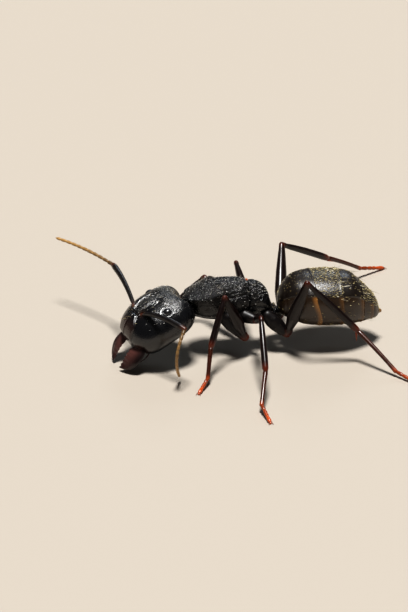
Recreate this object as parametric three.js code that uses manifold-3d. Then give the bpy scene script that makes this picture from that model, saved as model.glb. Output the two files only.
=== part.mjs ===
// A carpenter ant at life size, standing on a flat floor with its head lowered.
// Millimetres. The ant faces -X, its left side faces -Y and +Z is up.
import * as THREE from "three";
import { mergeVertices } from "three/addons/utils/BufferGeometryUtils.js";
import Module from "manifold-3d";

const wasm = await Module();
wasm.setup();

// ---- Driving dimensions ----

const SLIT = 0.03; // gap that parts two neighbouring sub-parts
const DEG = Math.PI / 180;

const HEAD = {
  halfLength: 1.74,
  halfWidth: 1.73,
  halfDepth: 1.24,
  notch: 0.36, // how far the back margin is hollowed between its two lobes
  squareness: 3, // its outline from above is fuller than an ellipse
  frontSquareness: 0.9, // and fuller still at the front, by this much
  taper: 0.2, // it narrows towards the mouth by this share
  crownSlope: 0.42, // how much of its depth above the middle is lost at the front
  jawSlope: 0.3, // and below the middle
  throatDepth: 0.82, // the underside's depth at the back, as a share of the crown's
  chinDepth: 0.1, // how much deeper it is towards the front
  cheekFullness: 0.2, // how square the lower cheeks are at the front
  notchHalfWidth: 0.85,
  pitch: 25.5,
  yaw: 13.3,
  roll: -1,
  centre: new THREE.Vector3(-3.61, -0.47, 2.11),
};
const EYE = { along: -0.44, out: 1.09, up: 0.75, halfLength: 0.27, halfWidth: 0.25, halfDepth: 0.28, lean: 56 };
const EYE_ROWS = [-0.9, -0.6, 0, 0.6, 0.9]; // where its rings stand, as shares of its half length
const EYE_SIDES = 10;
const MANDIBLE = {
  base: 1.4,
  length: 1.48,
  thickness: 0.34,
  bevel: 0.03,
  height: -0.2,
  pivotOut: 0.85, // the line that it twists about
  innerOut: 0.6, // its inner edge at the base, and its outer edge
  outerOut: 1.18,
  bulgeOut: 1.5, // how far its outer curve is drawn out, at the middle and near the tip
  shoulderOut: 1.3,
  tipOut: 0.42,
  teeth: 5,
  toothedShare: 0.66,
  toothTip: 0.38,
  toothRoot: 0.47,
};
const SOCKET = { along: 0.49, out: 0.55, up: 1.02 };

// Trunk and gaster sections: [x, top, bottom, half width].
const TRUNK = [
  [-2.32, 2.98, 2.5, 0.3],
  [-1.98, 3.31, 2.18, 0.68],
  [-1.49, 3.62, 1.97, 0.92],
  [-1.09, 3.87, 1.86, 0.98],
  [-0.6, 3.88, 1.8, 0.86],
  [-0.1, 3.89, 1.78, 0.75],
  [0.5, 3.83, 1.8, 0.7],
  [0.86, 3.72, 1.83, 0.62],
  [1.25, 3.65, 1.86, 0.63],
  [1.6, 3.41, 1.88, 0.58],
  [1.85, 3.01, 1.9, 0.48],
  [1.98, 2.55, 1.93, 0.36],
  [2.12, 2.2, 1.98, 0.22],
];
const GASTER = [
  [2.33, 2.7, 2.1, 0.2],
  [2.42, 2.98, 1.88, 0.55],
  [2.65, 3.36, 1.7, 0.86],
  [2.97, 3.67, 1.54, 1.12],
  [3.47, 3.84, 1.32, 1.4],
  [4.2, 3.87, 1.2, 1.57],
  [5.4, 3.76, 1.14, 1.56],
  [6.03, 3.58, 1.15, 1.37],
  [6.43, 3.2, 1.17, 1.12],
  [6.92, 2.66, 1.25, 0.78],
  [7.15, 2.36, 1.28, 0.58],
  [7.3, 2.05, 1.33, 0.36],
  [7.5, 1.66, 1.38, 0.16],
];
const PLATE_EDGES = [2.33, 4.0, 5.3, 6.42, 6.98, 7.5]; // front and rear edges of the gaster's plates
const FRONT_PLATE_EASING = 1.8; // the first plate's rings crowd towards its blunt front
const PLATE_FLARE = 0.035; // each plate's rear edge stands over the next by this share of its size
// The trunk's seams down its flank, from above its top to below its underside: [x, z].
const PRONOTUM_SEAM = [[-1.06, 4.2], [-1.0, 3.9], [-0.5, 3.55], [-0.24, 3.1], [-0.34, 2.6], [-0.8, 1.2]];
const PROPODEUM_SEAM = [[0.8, 4.2], [0.88, 2.9], [0.72, 1.2]];
const BEFORE_TRUNK = -9; // an x well in front of the trunk
const SEAM_HALF_DEPTH = 2; // a y beyond the trunk's sides
const TRUNK_PINCH = { share: 0.3, from: 0.3, to: 1.3 }; // its back narrows towards the top, over this run of x
const SIDE_FULLNESS = 0.9; // how round a body section's sides are; 1 is an ellipse's
const PETIOLE = {
  x: 2.13,
  z: 1.76,
  halfHeight: 0.58,
  halfWidth: 0.44,
  halfThickness: 0.2,
  thinning: 0.35, // how much thinner its top edge is
  fullness: 0.7,
  stalk: 0.25,
  stalkFrom: new THREE.Vector3(1.8, 0, 2.1),
  stalkTo: new THREE.Vector3(2.7, 0, 2.1),
};
const PETIOLE_ROWS = [-0.95, -0.7, -0.3, 0.15, 0.55, 0.85, 0.97]; // shares of its half height
const PETIOLE_SIDES = 16;

const FEELER = { radius: 0.25, neck: 0.2, joints: 11 };
const FEELERS = {
  left: {
    side: 1,
    jawDroop: 30,
    jawTwist: 22, // how far the jaw's outer edge hangs below its toothed one
    arch: new THREE.Vector3(-4.0, -2.3, 3.5),
    elbow: new THREE.Vector3(-2.8, -3.67, 3.08),
    bow: new THREE.Vector3(-3.65, -5.1, 2.2),
    tip: new THREE.Vector3(-2.95, -3.05, 0.45),
  },
  right: {
    side: -1,
    jawDroop: 28,
    jawTwist: 6,
    arch: new THREE.Vector3(-4.85, 1.6, 3.4),
    elbow: new THREE.Vector3(-5.21, 3.2, 3.5),
    bow: new THREE.Vector3(-6.3, 4.95, 3.75),
    tip: new THREE.Vector3(-7.62, 6.4, 3.72),
  },
};

// Lengths of coxa, femur with trochanter, tibia, first tarsal joint and the rest of the tarsus.
const LEG_LENGTHS = {
  fore: [1.78, 2.95, 2.45, 1.5, 1.2],
  mid: [0.89, 2.65, 2.7, 1.85, 1.3],
  hind: [1.36, 3.86, 3.68, 2.71, 1.55],
};
const HIPS = {
  fore: { x: -0.5, out: 0.35, z: 2.35 },
  mid: { x: 0.45, out: 0.45, z: 2.1 },
  hind: { x: 1.75, out: 0.45, z: 1.95 },
};
// Stance: each segment's bearing, from straight out to forward, and its rise, in degrees.
// The last rise brings the foot down to the floor.
const STANCE = {
  left_fore: { pair: "fore", side: -1, bearings: [-63, 54, 40, 19, 29], rises: [-46, 61, -58, -54] },
  left_mid: { pair: "mid", side: -1, bearings: [-51, 5.5, 4, 17, -7], rises: [-6, 27.3, -41, -34] },
  left_hind: { pair: "hind", side: -1, bearings: [-74, -20, -90, -41, -32], rises: [-44, 62, -47, -32] },
  right_fore: { pair: "fore", side: 1, bearings: [-63, 31, 68, 13, 11], rises: [-49, 32, -48, -21] },
  right_mid: { pair: "mid", side: 1, bearings: [-49, 4.8, -21, 8, -45], rises: [-15, 27.4, -52, -23] },
  right_hind: { pair: "hind", side: 1, bearings: [-57, -12, -56, -56, -63], rises: [-35, 39, -28, -29] },
};
const FOOT_HEIGHT = 0.2; // centre line of a foot's end above the floor

// Girths along each leg segment: [share of its length, radius].
const COXA_GIRTHS = {
  fore: [[0, 0.34], [0.3, 0.42], [0.6, 0.4], [1, 0.25]],
  mid: [[0, 0.34], [0.4, 0.34], [1, 0.25]],
  hind: [[0, 0.34], [0.3, 0.38], [0.7, 0.33], [1, 0.25]],
};
const FEMUR_GIRTHS = [[0, 0.25], [0.1, 0.25], [0.3, 0.31], [0.6, 0.29], [0.85, 0.25], [1, 0.26]];
const TIBIA_GIRTHS = [[0, 0.25], [0.06, 0.25], [0.35, 0.27], [0.75, 0.27], [1, 0.27]];
const TARSUS_RADIUS = 0.25;
const TARSUS_NECK = 0.21;
const TOE_JOINTS = 4;

const LIMB_SIDES = 8;
const BODY_SIDES = 22;
const HEAD_ROWS = 14;
const HEAD_END_GAP = 0.35; // how far its end rings stand from its poles, in rings
const TRUNK_ROWS = 20;
const PLATE_ROWS = 4;
const BEND_STEPS = 60;
const DOME = 0.3; // a limb's end stands out by this share of its radius
const SMOOTHING = 0.5; // how far body sections curve between their rows

// ---- Finishes ----

const SHELL = { color: 0x1b1b1d, roughness: 0.5 };
const GASTER_SHELL = { color: 0x2b281b, roughness: 0.5 };
const LIMB = { color: 0x241512, roughness: 0.4 };
const FOOT = { color: 0x5c2a16, roughness: 0.45 };
const JAW = { color: 0x35120e, roughness: 0.35 };
const EYE_GLASS = { color: 0x0c0c0e, roughness: 0.15 };

// ---- Making solids ----

// A closed geometry as a solid with its faces outwards.
function solidFrom(geometry) {
  const bare = geometry.clone();
  bare.deleteAttribute("normal");
  bare.deleteAttribute("uv");
  const merged = mergeVertices(bare, 1e-4);
  const vertProperties = new Float32Array(merged.attributes.position.array);
  const triVerts = new Uint32Array(merged.index.array);
  const solid = new wasm.Manifold(new wasm.Mesh({ numProp: 3, vertProperties, triVerts }));
  if (solid.volume() > 0) return solid;
  const turned = triVerts.slice();
  for (let i = 0; i < turned.length; i += 3) {
    turned[i] = triVerts[i + 1];
    turned[i + 1] = triVerts[i];
  }
  return new wasm.Manifold(new wasm.Mesh({ numProp: 3, vertProperties, triVerts: turned }));
}

function geometryFrom(solid) {
  const mesh = solid.getMesh();
  const geometry = new THREE.BufferGeometry();
  geometry.setAttribute("position", new THREE.BufferAttribute(mesh.vertProperties, 3));
  geometry.setIndex(new THREE.BufferAttribute(mesh.triVerts, 1));
  return geometry;
}

// The largest piece of a solid, so that a cut leaves no crumbs.
function mainPiece(solid) {
  return solid.decompose().reduce((a, b) => (b.volume() > a.volume() ? b : a));
}

// A closed skin over a row of sections. pointAt(section, cosine, sine) gives a point of a section's
// rim, and its middle for (0, 0).
function lofted(sections, sides, pointAt) {
  const geometry = new THREE.SphereGeometry(1, sides, sections.length + 1);
  const points = geometry.attributes.position;
  for (let i = 0; i < points.count; i++) {
    const row = Math.floor(i / (sides + 1)) - 1;
    const turn = ((i % (sides + 1)) % sides) / sides;
    const section = sections[THREE.MathUtils.clamp(row, 0, sections.length - 1)];
    const spread = row >= 0 && row < sections.length ? 1 : 0;
    const angle = 2 * Math.PI * turn;
    const p = pointAt(section, spread * Math.cos(angle), spread * Math.sin(angle));
    points.setXYZ(i, p.x, p.y, p.z);
  }
  return solidFrom(geometry);
}

// A round limb along a curve. Each girth is [share of the length, radius]. grow swells it all over.
function limb(curve, girths, grow = 0) {
  const length = curve.getLength();
  const last = girths[girths.length - 1];
  const profile = [new THREE.Vector2(0, -grow - DOME * girths[0][1])];
  for (const [share, radius] of girths) {
    profile.push(new THREE.Vector2(radius + grow, share * length));
  }
  profile[1].y -= grow;
  profile[profile.length - 1].y += grow;
  profile.push(new THREE.Vector2(0, length + grow + DOME * last[1]));
  const geometry = new THREE.LatheGeometry(profile, LIMB_SIDES);
  const points = geometry.attributes.position;
  const frames = curve.computeFrenetFrames(BEND_STEPS);
  for (let i = 0; i < points.count; i++) {
    const reach = points.getY(i);
    const share = THREE.MathUtils.clamp(reach / length, 0, 1);
    const step = Math.round(share * BEND_STEPS);
    const p = curve.getPointAt(share);
    p.addScaledVector(frames.tangents[step], reach - share * length);
    p.addScaledVector(frames.normals[step], points.getX(i));
    p.addScaledVector(frames.binormals[step], points.getZ(i));
    points.setXYZ(i, p.x, p.y, p.z);
  }
  return solidFrom(geometry);
}

// A value between rows of [x, values...], smoothed with a Catmull-Rom curve through the rows.
function sectionAt(rows, x) {
  const last = rows.length - 1;
  const k = THREE.MathUtils.clamp(rows.findIndex((row) => row[0] > x) - 1, 0, last - 1);
  const segment = x >= rows[last][0] ? last - 1 : k;
  const share = (x - rows[segment][0]) / (rows[segment + 1][0] - rows[segment][0]);
  const before = rows[Math.max(segment - 1, 0)];
  const after = rows[Math.min(segment + 2, last)];
  return rows[segment].map((value, column) => {
    if (column === 0) return x;
    const next = rows[segment + 1][column];
    const pull = 0.5 * share * (1 - share);
    const soft = pull * ((1 - share) * (value - before[column]) + share * (next - after[column]));
    return value + (next - value) * share + soft * SMOOTHING;
  });
}

const boxBetween = (low, high) => {
  const size = new THREE.Vector3().subVectors(high, low);
  const middle = new THREE.Vector3().addVectors(low, high).multiplyScalar(0.5);
  return solidFrom(new THREE.BoxGeometry(size.x, size.y, size.z).translate(middle.x, middle.y, middle.z));
};

// ---- Head ----

const headAlong = new THREE.Vector3(
  -Math.cos(HEAD.pitch * DEG) * Math.cos(HEAD.yaw * DEG),
  -Math.cos(HEAD.pitch * DEG) * Math.sin(HEAD.yaw * DEG),
  -Math.sin(HEAD.pitch * DEG),
);
const levelUp = new THREE.Vector3(
  -Math.sin(HEAD.pitch * DEG) * Math.cos(HEAD.yaw * DEG),
  -Math.sin(HEAD.pitch * DEG) * Math.sin(HEAD.yaw * DEG),
  Math.cos(HEAD.pitch * DEG),
);
const headUp = levelUp.clone().applyAxisAngle(headAlong, HEAD.roll * DEG);
const headOut = new THREE.Vector3().crossVectors(headUp, headAlong); // towards the head's left

function headPoint(along, out, up) {
  const p = HEAD.centre.clone();
  p.addScaledVector(headAlong, along);
  p.addScaledVector(headOut, out);
  p.addScaledVector(headUp, up);
  return p;
}

function headSolid(grow) {
  const sections = [];
  for (let i = 0; i < HEAD_ROWS; i++) {
    sections.push(-Math.cos((Math.PI * (i + HEAD_END_GAP)) / (HEAD_ROWS - 1 + 2 * HEAD_END_GAP)));
  }
  const { smoothstep } = THREE.MathUtils;
  return lofted(sections, BODY_SIDES, (along, cosine, sine) => {
    const squareness = HEAD.squareness + HEAD.frontSquareness * smoothstep(along, 0.1, 0.8);
    const girth = (1 - Math.abs(along) ** squareness) ** (1 / squareness);
    const forward = Math.max(along, 0);
    const fullness = sine > 0 ? 1 : 1 - HEAD.cheekFullness * smoothstep(along, 0.15, 0.7);
    const across = Math.sign(cosine) * Math.abs(cosine) ** fullness;
    const upright = Math.sign(sine) * Math.abs(sine) ** fullness;
    const width = (HEAD.halfWidth * (1 - HEAD.taper * forward ** 2) * girth + grow) * across;
    const below = HEAD.throatDepth + HEAD.chinDepth * smoothstep(along, -0.1, 0.6);
    const deep = sine > 0 ? 1 - HEAD.crownSlope * forward ** 2 : below - HEAD.jawSlope * forward ** 2;
    const height = (HEAD.halfDepth * deep * girth + grow) * upright;
    const hollow = Math.max(0, -along) ** 3 * Math.max(0, 1 - (width / HEAD.notchHalfWidth) ** 2);
    const length = (HEAD.halfLength + grow) * along + HEAD.notch * hollow;
    return headPoint(length, width, height);
  });
}

function eyeSolid(side, grow) {
  const lean = EYE.lean * DEG;
  return lofted(EYE_ROWS, EYE_SIDES, (along, cosine, sine) => {
    const girth = Math.sqrt(1 - along ** 2);
    const across = (EYE.halfWidth * girth + grow) * cosine;
    const deep = (EYE.halfDepth * girth + grow) * sine;
    const out = EYE.out + deep * Math.cos(lean) - across * Math.sin(lean);
    const up = EYE.up + deep * Math.sin(lean) + across * Math.cos(lean);
    return headPoint(EYE.along + (EYE.halfLength + grow) * along, side * out, up);
  });
}

// A blade with an outer curve and a toothed inner edge, drawn from its base along x.
function mandibleSolid(side, droop, twist) {
  const { length, teeth, bulgeOut, shoulderOut, tipOut, pivotOut } = MANDIBLE;
  const blade = new THREE.Shape();
  blade.moveTo(0, MANDIBLE.innerOut);
  blade.lineTo(0, MANDIBLE.outerOut);
  blade.bezierCurveTo(0.45 * length, bulgeOut, 0.92 * length, shoulderOut, length, tipOut);
  const toothStep = (MANDIBLE.toothedShare * length) / teeth;
  for (let i = 1; i <= teeth; i++) {
    blade.lineTo(length - toothStep * (i - 0.5), MANDIBLE.toothRoot);
    blade.lineTo(length - toothStep * i, MANDIBLE.toothTip);
  }
  blade.closePath();
  const geometry = new THREE.ExtrudeGeometry(blade, {
    depth: MANDIBLE.thickness - 2 * MANDIBLE.bevel,
    bevelSize: MANDIBLE.bevel,
    bevelThickness: MANDIBLE.bevel,
    bevelOffset: -MANDIBLE.bevel,
    bevelSegments: 1,
    curveSegments: 6,
  });
  const points = geometry.attributes.position;
  for (let i = 0; i < points.count; i++) {
    const reach = points.getX(i);
    const flat = points.getZ(i) - MANDIBLE.thickness / 2;
    const across = points.getY(i) - pivotOut;
    const thick = flat * Math.cos(twist) - across * Math.sin(twist);
    const out = pivotOut + across * Math.cos(twist) + flat * Math.sin(twist);
    const along = MANDIBLE.base + reach * Math.cos(droop) + thick * Math.sin(droop);
    const up = MANDIBLE.height - reach * Math.sin(droop) + thick * Math.cos(droop);
    const p = headPoint(along, side * out, up);
    points.setXYZ(i, p.x, p.y, p.z);
  }
  return solidFrom(geometry);
}

// Girths that swell and narrow once for each joint of a feeler or foot.
function beadGirths(from, to, joints, radius, neck) {
  const girths = [];
  for (let i = 0; i < joints; i++) {
    const start = from + ((to - from) * i) / joints;
    const step = (to - from) / joints;
    girths.push([start + 0.12 * step, neck], [start + 0.75 * step, radius]);
  }
  return girths;
}

// ---- Trunk, waist and gaster ----

const trunkLength = TRUNK[TRUNK.length - 1][0] - TRUNK[0][0];

function bodyPoint([x, top, bottom, halfWidth], cosine, sine, grow, pinch) {
  const narrowed = halfWidth * (1 - pinch * Math.max(0, sine));
  const y = (narrowed + grow) * Math.sign(cosine) * Math.abs(cosine) ** SIDE_FULLNESS;
  const z = (top + bottom) / 2 + ((top - bottom) / 2 + grow) * sine;
  return new THREE.Vector3(x, y, z);
}

function trunkSolid(grow) {
  const sections = [];
  for (let i = 0; i <= TRUNK_ROWS; i++) {
    sections.push(sectionAt(TRUNK, TRUNK[0][0] + (trunkLength * i) / TRUNK_ROWS));
  }
  return lofted(sections, BODY_SIDES, (section, cosine, sine) => {
    const pinch = TRUNK_PINCH.share * THREE.MathUtils.smoothstep(section[0], TRUNK_PINCH.from, TRUNK_PINCH.to);
    return bodyPoint(section, cosine, sine, grow, pinch);
  });
}

// The space in front of a seam that runs down a flank as a chevron, set off by shift along X.
function spaceBefore(seam, shift) {
  const outline = new THREE.Shape();
  outline.moveTo(BEFORE_TRUNK, seam[0][1]);
  for (const [x, z] of seam) outline.lineTo(x + shift, z);
  outline.lineTo(BEFORE_TRUNK, seam[seam.length - 1][1]);
  outline.closePath();
  const prism = new THREE.ExtrudeGeometry(outline, { depth: 2 * SEAM_HALF_DEPTH, bevelEnabled: false });
  return solidFrom(prism.rotateX(Math.PI / 2).translate(0, SEAM_HALF_DEPTH, 0));
}

function gasterPlate(index, grow) {
  const front = PLATE_EDGES[index] + (index > 0 ? SLIT / 2 : 0);
  const rear = PLATE_EDGES[index + 1] - (index < PLATE_EDGES.length - 2 ? SLIT / 2 : 0);
  const sections = [];
  for (let i = 0; i <= PLATE_ROWS; i++) {
    const share = i / PLATE_ROWS;
    const eased = index === 0 ? share ** FRONT_PLATE_EASING : share;
    const [x, top, bottom, halfWidth] = sectionAt(GASTER, front + (rear - front) * eased);
    const flare = PLATE_FLARE * (share - 0.5);
    const swell = (flare * (top - bottom)) / 2;
    sections.push([x, top + swell, bottom - swell, halfWidth * (1 + flare)]);
  }
  return lofted(sections, BODY_SIDES, (section, cosine, sine) => bodyPoint(section, cosine, sine, grow, 0));
}

// An upright scale on a short stalk.
function petioleSolid() {
  const scale = lofted(PETIOLE_ROWS, PETIOLE_SIDES, (rise, cosine, sine) => {
    const girth = Math.sqrt(1 - rise ** 2) ** PETIOLE.fullness;
    const thin = 1 - PETIOLE.thinning * Math.max(0, rise);
    const x = PETIOLE.x + PETIOLE.halfThickness * thin * girth * cosine;
    const y = PETIOLE.halfWidth * girth * sine;
    return new THREE.Vector3(x, y, PETIOLE.z + PETIOLE.halfHeight * rise);
  });
  const stalk = new THREE.LineCurve3(PETIOLE.stalkFrom, PETIOLE.stalkTo);
  return scale.add(limb(stalk, [[0, PETIOLE.stalk], [1, PETIOLE.stalk]]));
}

// ---- Legs ----

function direction(side, bearing, rise) {
  const level = Math.cos(rise);
  return new THREE.Vector3(-Math.sin(bearing) * level, side * Math.cos(bearing) * level, Math.sin(rise));
}

// The six ends of a leg's segments, from the hip to the foot.
function legJoints({ pair, side, bearings, rises }) {
  const hip = HIPS[pair];
  const joints = [new THREE.Vector3(hip.x, side * hip.out, hip.z)];
  LEG_LENGTHS[pair].forEach((length, i) => {
    const from = joints[i];
    const rise = i < rises.length ? rises[i] * DEG : Math.asin((FOOT_HEIGHT - from.z) / length);
    joints.push(from.clone().addScaledVector(direction(side, bearings[i] * DEG, rise), length));
  });
  return joints;
}

function coxaSolid(stance, grow) {
  const [hip, trochanter] = legJoints(stance);
  return limb(new THREE.LineCurve3(hip, trochanter), COXA_GIRTHS[stance.pair], grow);
}

function legSolids(stance) {
  const [, trochanter, knee, ankle, sole, foot] = legJoints(stance);
  const coxa = (grow) => coxaSolid(stance, grow);
  const femur = (grow) => limb(new THREE.LineCurve3(trochanter, knee), FEMUR_GIRTHS, grow);
  const tibia = (grow) => limb(new THREE.LineCurve3(knee, ankle), TIBIA_GIRTHS, grow);
  const [, , , basal, rest] = LEG_LENGTHS[stance.pair];
  const bend = basal / (basal + rest);
  const tarsusGirths = [[0, TARSUS_NECK], [0.08, TARSUS_RADIUS], [bend - 0.03, TARSUS_RADIUS]];
  tarsusGirths.push(...beadGirths(bend, 1, TOE_JOINTS, TARSUS_RADIUS, TARSUS_NECK), [1, TARSUS_NECK]);
  const tarsusLine = new THREE.CatmullRomCurve3([ankle, ankle.clone().lerp(sole, 0.5), sole, foot]);
  return {
    coxa: coxa(0).subtract(trunkGrown),
    femur: femur(0).subtract(coxa(SLIT)),
    tibia: tibia(0).subtract(femur(SLIT)),
    tarsus: limb(tarsusLine, tarsusGirths).subtract(tibia(SLIT)).subtract(floor),
  };
}

// ---- Assembly ----

const ant = new THREE.Group();

function addPart(name, solid, finish) {
  const mesh = new THREE.Mesh(geometryFrom(mainPiece(solid)), new THREE.MeshStandardMaterial(finish));
  mesh.name = name;
  ant.add(mesh);
}

const trunk = trunkSolid(0);
const trunkGrown = trunkSolid(SLIT);
const headGrown = headSolid(SLIT);
const floor = boxBetween(new THREE.Vector3(-20, -20, -5), new THREE.Vector3(20, 20, 0));

let head = headSolid(0);
for (const [name, feeler] of Object.entries(FEELERS)) {
  const { side, jawDroop, jawTwist, arch, elbow, bow, tip } = feeler;
  head = head.subtract(eyeSolid(side, SLIT));
  addPart(`eye_${name}`, eyeSolid(side, 0), EYE_GLASS);
  addPart(`mandible_${name}`, mandibleSolid(side, jawDroop * DEG, jawTwist * DEG).subtract(headGrown), JAW);
  const socket = headPoint(SOCKET.along, side * SOCKET.out, SOCKET.up);
  const scapeLine = new THREE.QuadraticBezierCurve3(socket, arch, elbow);
  const scapeGirths = [[0, FEELER.neck], [0.12, FEELER.neck], [0.3, FEELER.radius], [0.7, FEELER.radius]];
  scapeGirths.push([1, FEELER.radius]);
  addPart(`scape_${name}`, limb(scapeLine, scapeGirths).subtract(headGrown), LIMB);
  const whip = new THREE.QuadraticBezierCurve3(elbow, bow, tip);
  const whipGirths = beadGirths(0, 1, FEELER.joints, FEELER.radius, FEELER.neck);
  addPart(`funiculus_${name}`, limb(whip, whipGirths).subtract(limb(scapeLine, scapeGirths, SLIT)), LIMB);
}
addPart("head", head, SHELL);

const foreSpace = spaceBefore(PRONOTUM_SEAM, -SLIT / 2);
const foreGap = spaceBefore(PRONOTUM_SEAM, SLIT / 2);
const rearSpace = spaceBefore(PROPODEUM_SEAM, -SLIT / 2);
const rearGap = spaceBefore(PROPODEUM_SEAM, SLIT / 2);
addPart("pronotum", trunk.intersect(foreSpace).subtract(headGrown), SHELL);
addPart("mesothorax", trunk.subtract(foreGap).intersect(rearSpace), SHELL);
addPart("propodeum", trunk.subtract(rearGap), SHELL);
let petiole = petioleSolid().subtract(trunkGrown).subtract(gasterPlate(0, SLIT));
for (const name of ["left_hind", "right_hind"]) petiole = petiole.subtract(coxaSolid(STANCE[name], SLIT));
addPart("petiole", petiole, SHELL);
for (let i = 0; i < PLATE_EDGES.length - 1; i++) {
  addPart(`gaster_${i + 1}`, gasterPlate(i, 0), GASTER_SHELL);
}

const gasterGrown = gasterPlate(0, SLIT);
for (const [name, stance] of Object.entries(STANCE)) {
  const { coxa, femur, tibia, tarsus } = legSolids(stance);
  const legAhead = STANCE[name.replace("mid", "fore").replace("hind", "mid")];
  const cleared = legAhead === stance ? coxa : coxa.subtract(coxaSolid(legAhead, SLIT));
  addPart(`${name}_coxa`, cleared, LIMB);
  addPart(`${name}_femur`, stance.pair === "hind" ? femur.subtract(gasterGrown) : femur, LIMB);
  addPart(`${name}_tibia`, tibia, LIMB);
  addPart(`${name}_tarsus`, tarsus, FOOT);
}

// The part's origin is on the floor, under the middle of the whole ant.
const reach = new THREE.Box3().setFromObject(ant);
const middle = reach.getCenter(new THREE.Vector3());
ant.position.set(-middle.x, -middle.y, 0);

const part = new THREE.Group();
part.add(ant);
export default part;
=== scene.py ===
import math

import bpy
import numpy as np
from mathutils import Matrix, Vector


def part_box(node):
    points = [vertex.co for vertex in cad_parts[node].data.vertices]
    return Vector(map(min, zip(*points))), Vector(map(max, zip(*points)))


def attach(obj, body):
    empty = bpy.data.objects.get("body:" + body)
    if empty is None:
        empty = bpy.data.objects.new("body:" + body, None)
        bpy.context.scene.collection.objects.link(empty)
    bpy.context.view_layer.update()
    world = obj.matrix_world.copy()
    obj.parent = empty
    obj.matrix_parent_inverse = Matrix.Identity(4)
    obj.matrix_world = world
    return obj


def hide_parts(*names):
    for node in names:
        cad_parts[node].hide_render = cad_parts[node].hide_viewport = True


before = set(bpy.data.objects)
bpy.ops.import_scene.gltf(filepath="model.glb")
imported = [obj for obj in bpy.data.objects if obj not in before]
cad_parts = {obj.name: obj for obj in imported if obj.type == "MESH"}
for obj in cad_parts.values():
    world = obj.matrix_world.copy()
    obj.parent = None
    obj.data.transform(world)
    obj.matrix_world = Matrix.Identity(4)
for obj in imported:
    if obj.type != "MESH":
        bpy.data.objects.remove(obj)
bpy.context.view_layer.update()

# ---- The table top and its light ----
# A plain pale table top of matt card under a soft lamp, with a weaker one behind, and a camera low
# over the ant's left side. The ant faces -X, and its left side faces the camera.

MM = 0.001
TAIL_END = 7.5  # the gaster's tip, in millimetres behind the point that the ant is measured from
gaster_side = [corner.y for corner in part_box("gaster_2")]
MEASURED_FROM = np.array([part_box("gaster_5")[1].x - TAIL_END * MM, sum(gaster_side) / 2, 0])


def placed(points):
    """Points in the ant's own millimetres, as metres in the shared frame."""
    return np.asarray(points, float) * MM + MEASURED_FROM


def added(name, data):
    """A new object in the scene."""
    made = bpy.data.objects.new(name, data)
    bpy.context.scene.collection.objects.link(made)
    return made


def plain_finish(name):
    """A new material and its shader."""
    material = bpy.data.materials.new(name)
    material.use_nodes = True
    return material, material.node_tree.nodes["Principled BSDF"]


CAMERA_AZIMUTH = math.radians(-10)
CAMERA_ELEVATION = math.radians(26)
CAMERA_DISTANCE = 160
CAMERA_LENS = 193.5
FRAME_CENTRE_RIGHT = -1.255
FRAME_CENTRE_UP = 2.14

level = math.cos(CAMERA_ELEVATION)
camera_back = Vector((
    math.sin(CAMERA_AZIMUTH) * level,
    -math.cos(CAMERA_AZIMUTH) * level,
    math.sin(CAMERA_ELEVATION),
))
camera_right = Vector((math.cos(CAMERA_AZIMUTH), math.sin(CAMERA_AZIMUTH), 0))
camera_up = camera_back.cross(camera_right)
aim = Vector(placed(camera_right * FRAME_CENTRE_RIGHT + camera_up * FRAME_CENTRE_UP))

camera = added("camera", bpy.data.cameras.new("camera"))
camera.data.lens = CAMERA_LENS
camera.data.clip_start = 0.001
camera.data.clip_end = 10
camera.location = Vector(placed(camera_back * CAMERA_DISTANCE))
camera.rotation_mode = "QUATERNION"
camera.rotation_quaternion = (camera.location - aim).to_track_quat("Z", "Y")
bpy.context.scene.camera = camera

TABLE_HALF_WIDTH = 600
table_mesh = bpy.data.meshes.new("table_top")
table_corners = [(-1, -1, 0), (1, -1, 0), (1, 1, 0), (-1, 1, 0)]
table_mesh.from_pydata(placed(np.array(table_corners) * TABLE_HALF_WIDTH).tolist(), [], [(0, 1, 2, 3)])
table_top = added("table_top", table_mesh)
card, card_shader = plain_finish("pale_card")
card_shader.inputs["Base Color"].default_value = (0.47, 0.425, 0.37, 1)
card_shader.inputs["Roughness"].default_value = 0.85
card_shader.inputs["Specular IOR Level"].default_value = 0.2
table_mesh.materials.append(card)


def soft_lamp(name, toward, spread, strength, colour):
    """A large far-off soft lamp in the direction given, that looks so many degrees wide from the ant."""
    lamp = added(name, bpy.data.lights.new(name, "SUN"))
    lamp.data.angle = math.radians(spread)
    lamp.data.energy = strength
    lamp.data.color = colour
    lamp.rotation_mode = "QUATERNION"
    lamp.rotation_quaternion = Vector(toward).to_track_quat("Z", "Y")


soft_lamp("lamp_above", toward=(-2, -10, 62), spread=13, strength=3.6, colour=(1, 0.99, 0.975))
soft_lamp("lamp_behind", toward=(20, 60, 45), spread=22, strength=0.32, colour=(0.8, 0.9, 1))
sky = bpy.data.worlds.new("studio")
sky.use_nodes = True
sky.node_tree.nodes["Background"].inputs["Color"].default_value = (0.95, 0.97, 1, 1)
sky.node_tree.nodes["Background"].inputs["Strength"].default_value = 0.07
bpy.context.scene.world = sky
bpy.context.scene.view_settings.view_transform = "Standard"
bpy.context.scene.view_settings.look = "High Contrast"

# ---- Head capsule ----
# A heart-shaped capsule of hard black cuticle, grown in one piece. Ridges run back over the two
# feeler sockets, and a keeled plate, the clypeus, closes it above the jaws.

HEAD_HALF_LENGTH = 1.74
HEAD_HALF_WIDTH = 1.73
HEAD_HALF_DEPTH = 1.24
HEAD_NOTCH = 0.36
HEAD_NOTCH_HALF_WIDTH = 0.85
HEAD_TAPER = 0.2
BROW_DROP = 0.42
CHIN_RISE = 0.3
HEAD_PITCH = math.radians(25.5)
HEAD_YAW = math.radians(13.3)
HEAD_ROLL = math.radians(-1)
HEAD_CENTRE = np.array([-3.61, -0.47, 2.11])
HEAD_ROWS = 230
HEAD_SIDES = 300

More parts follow.
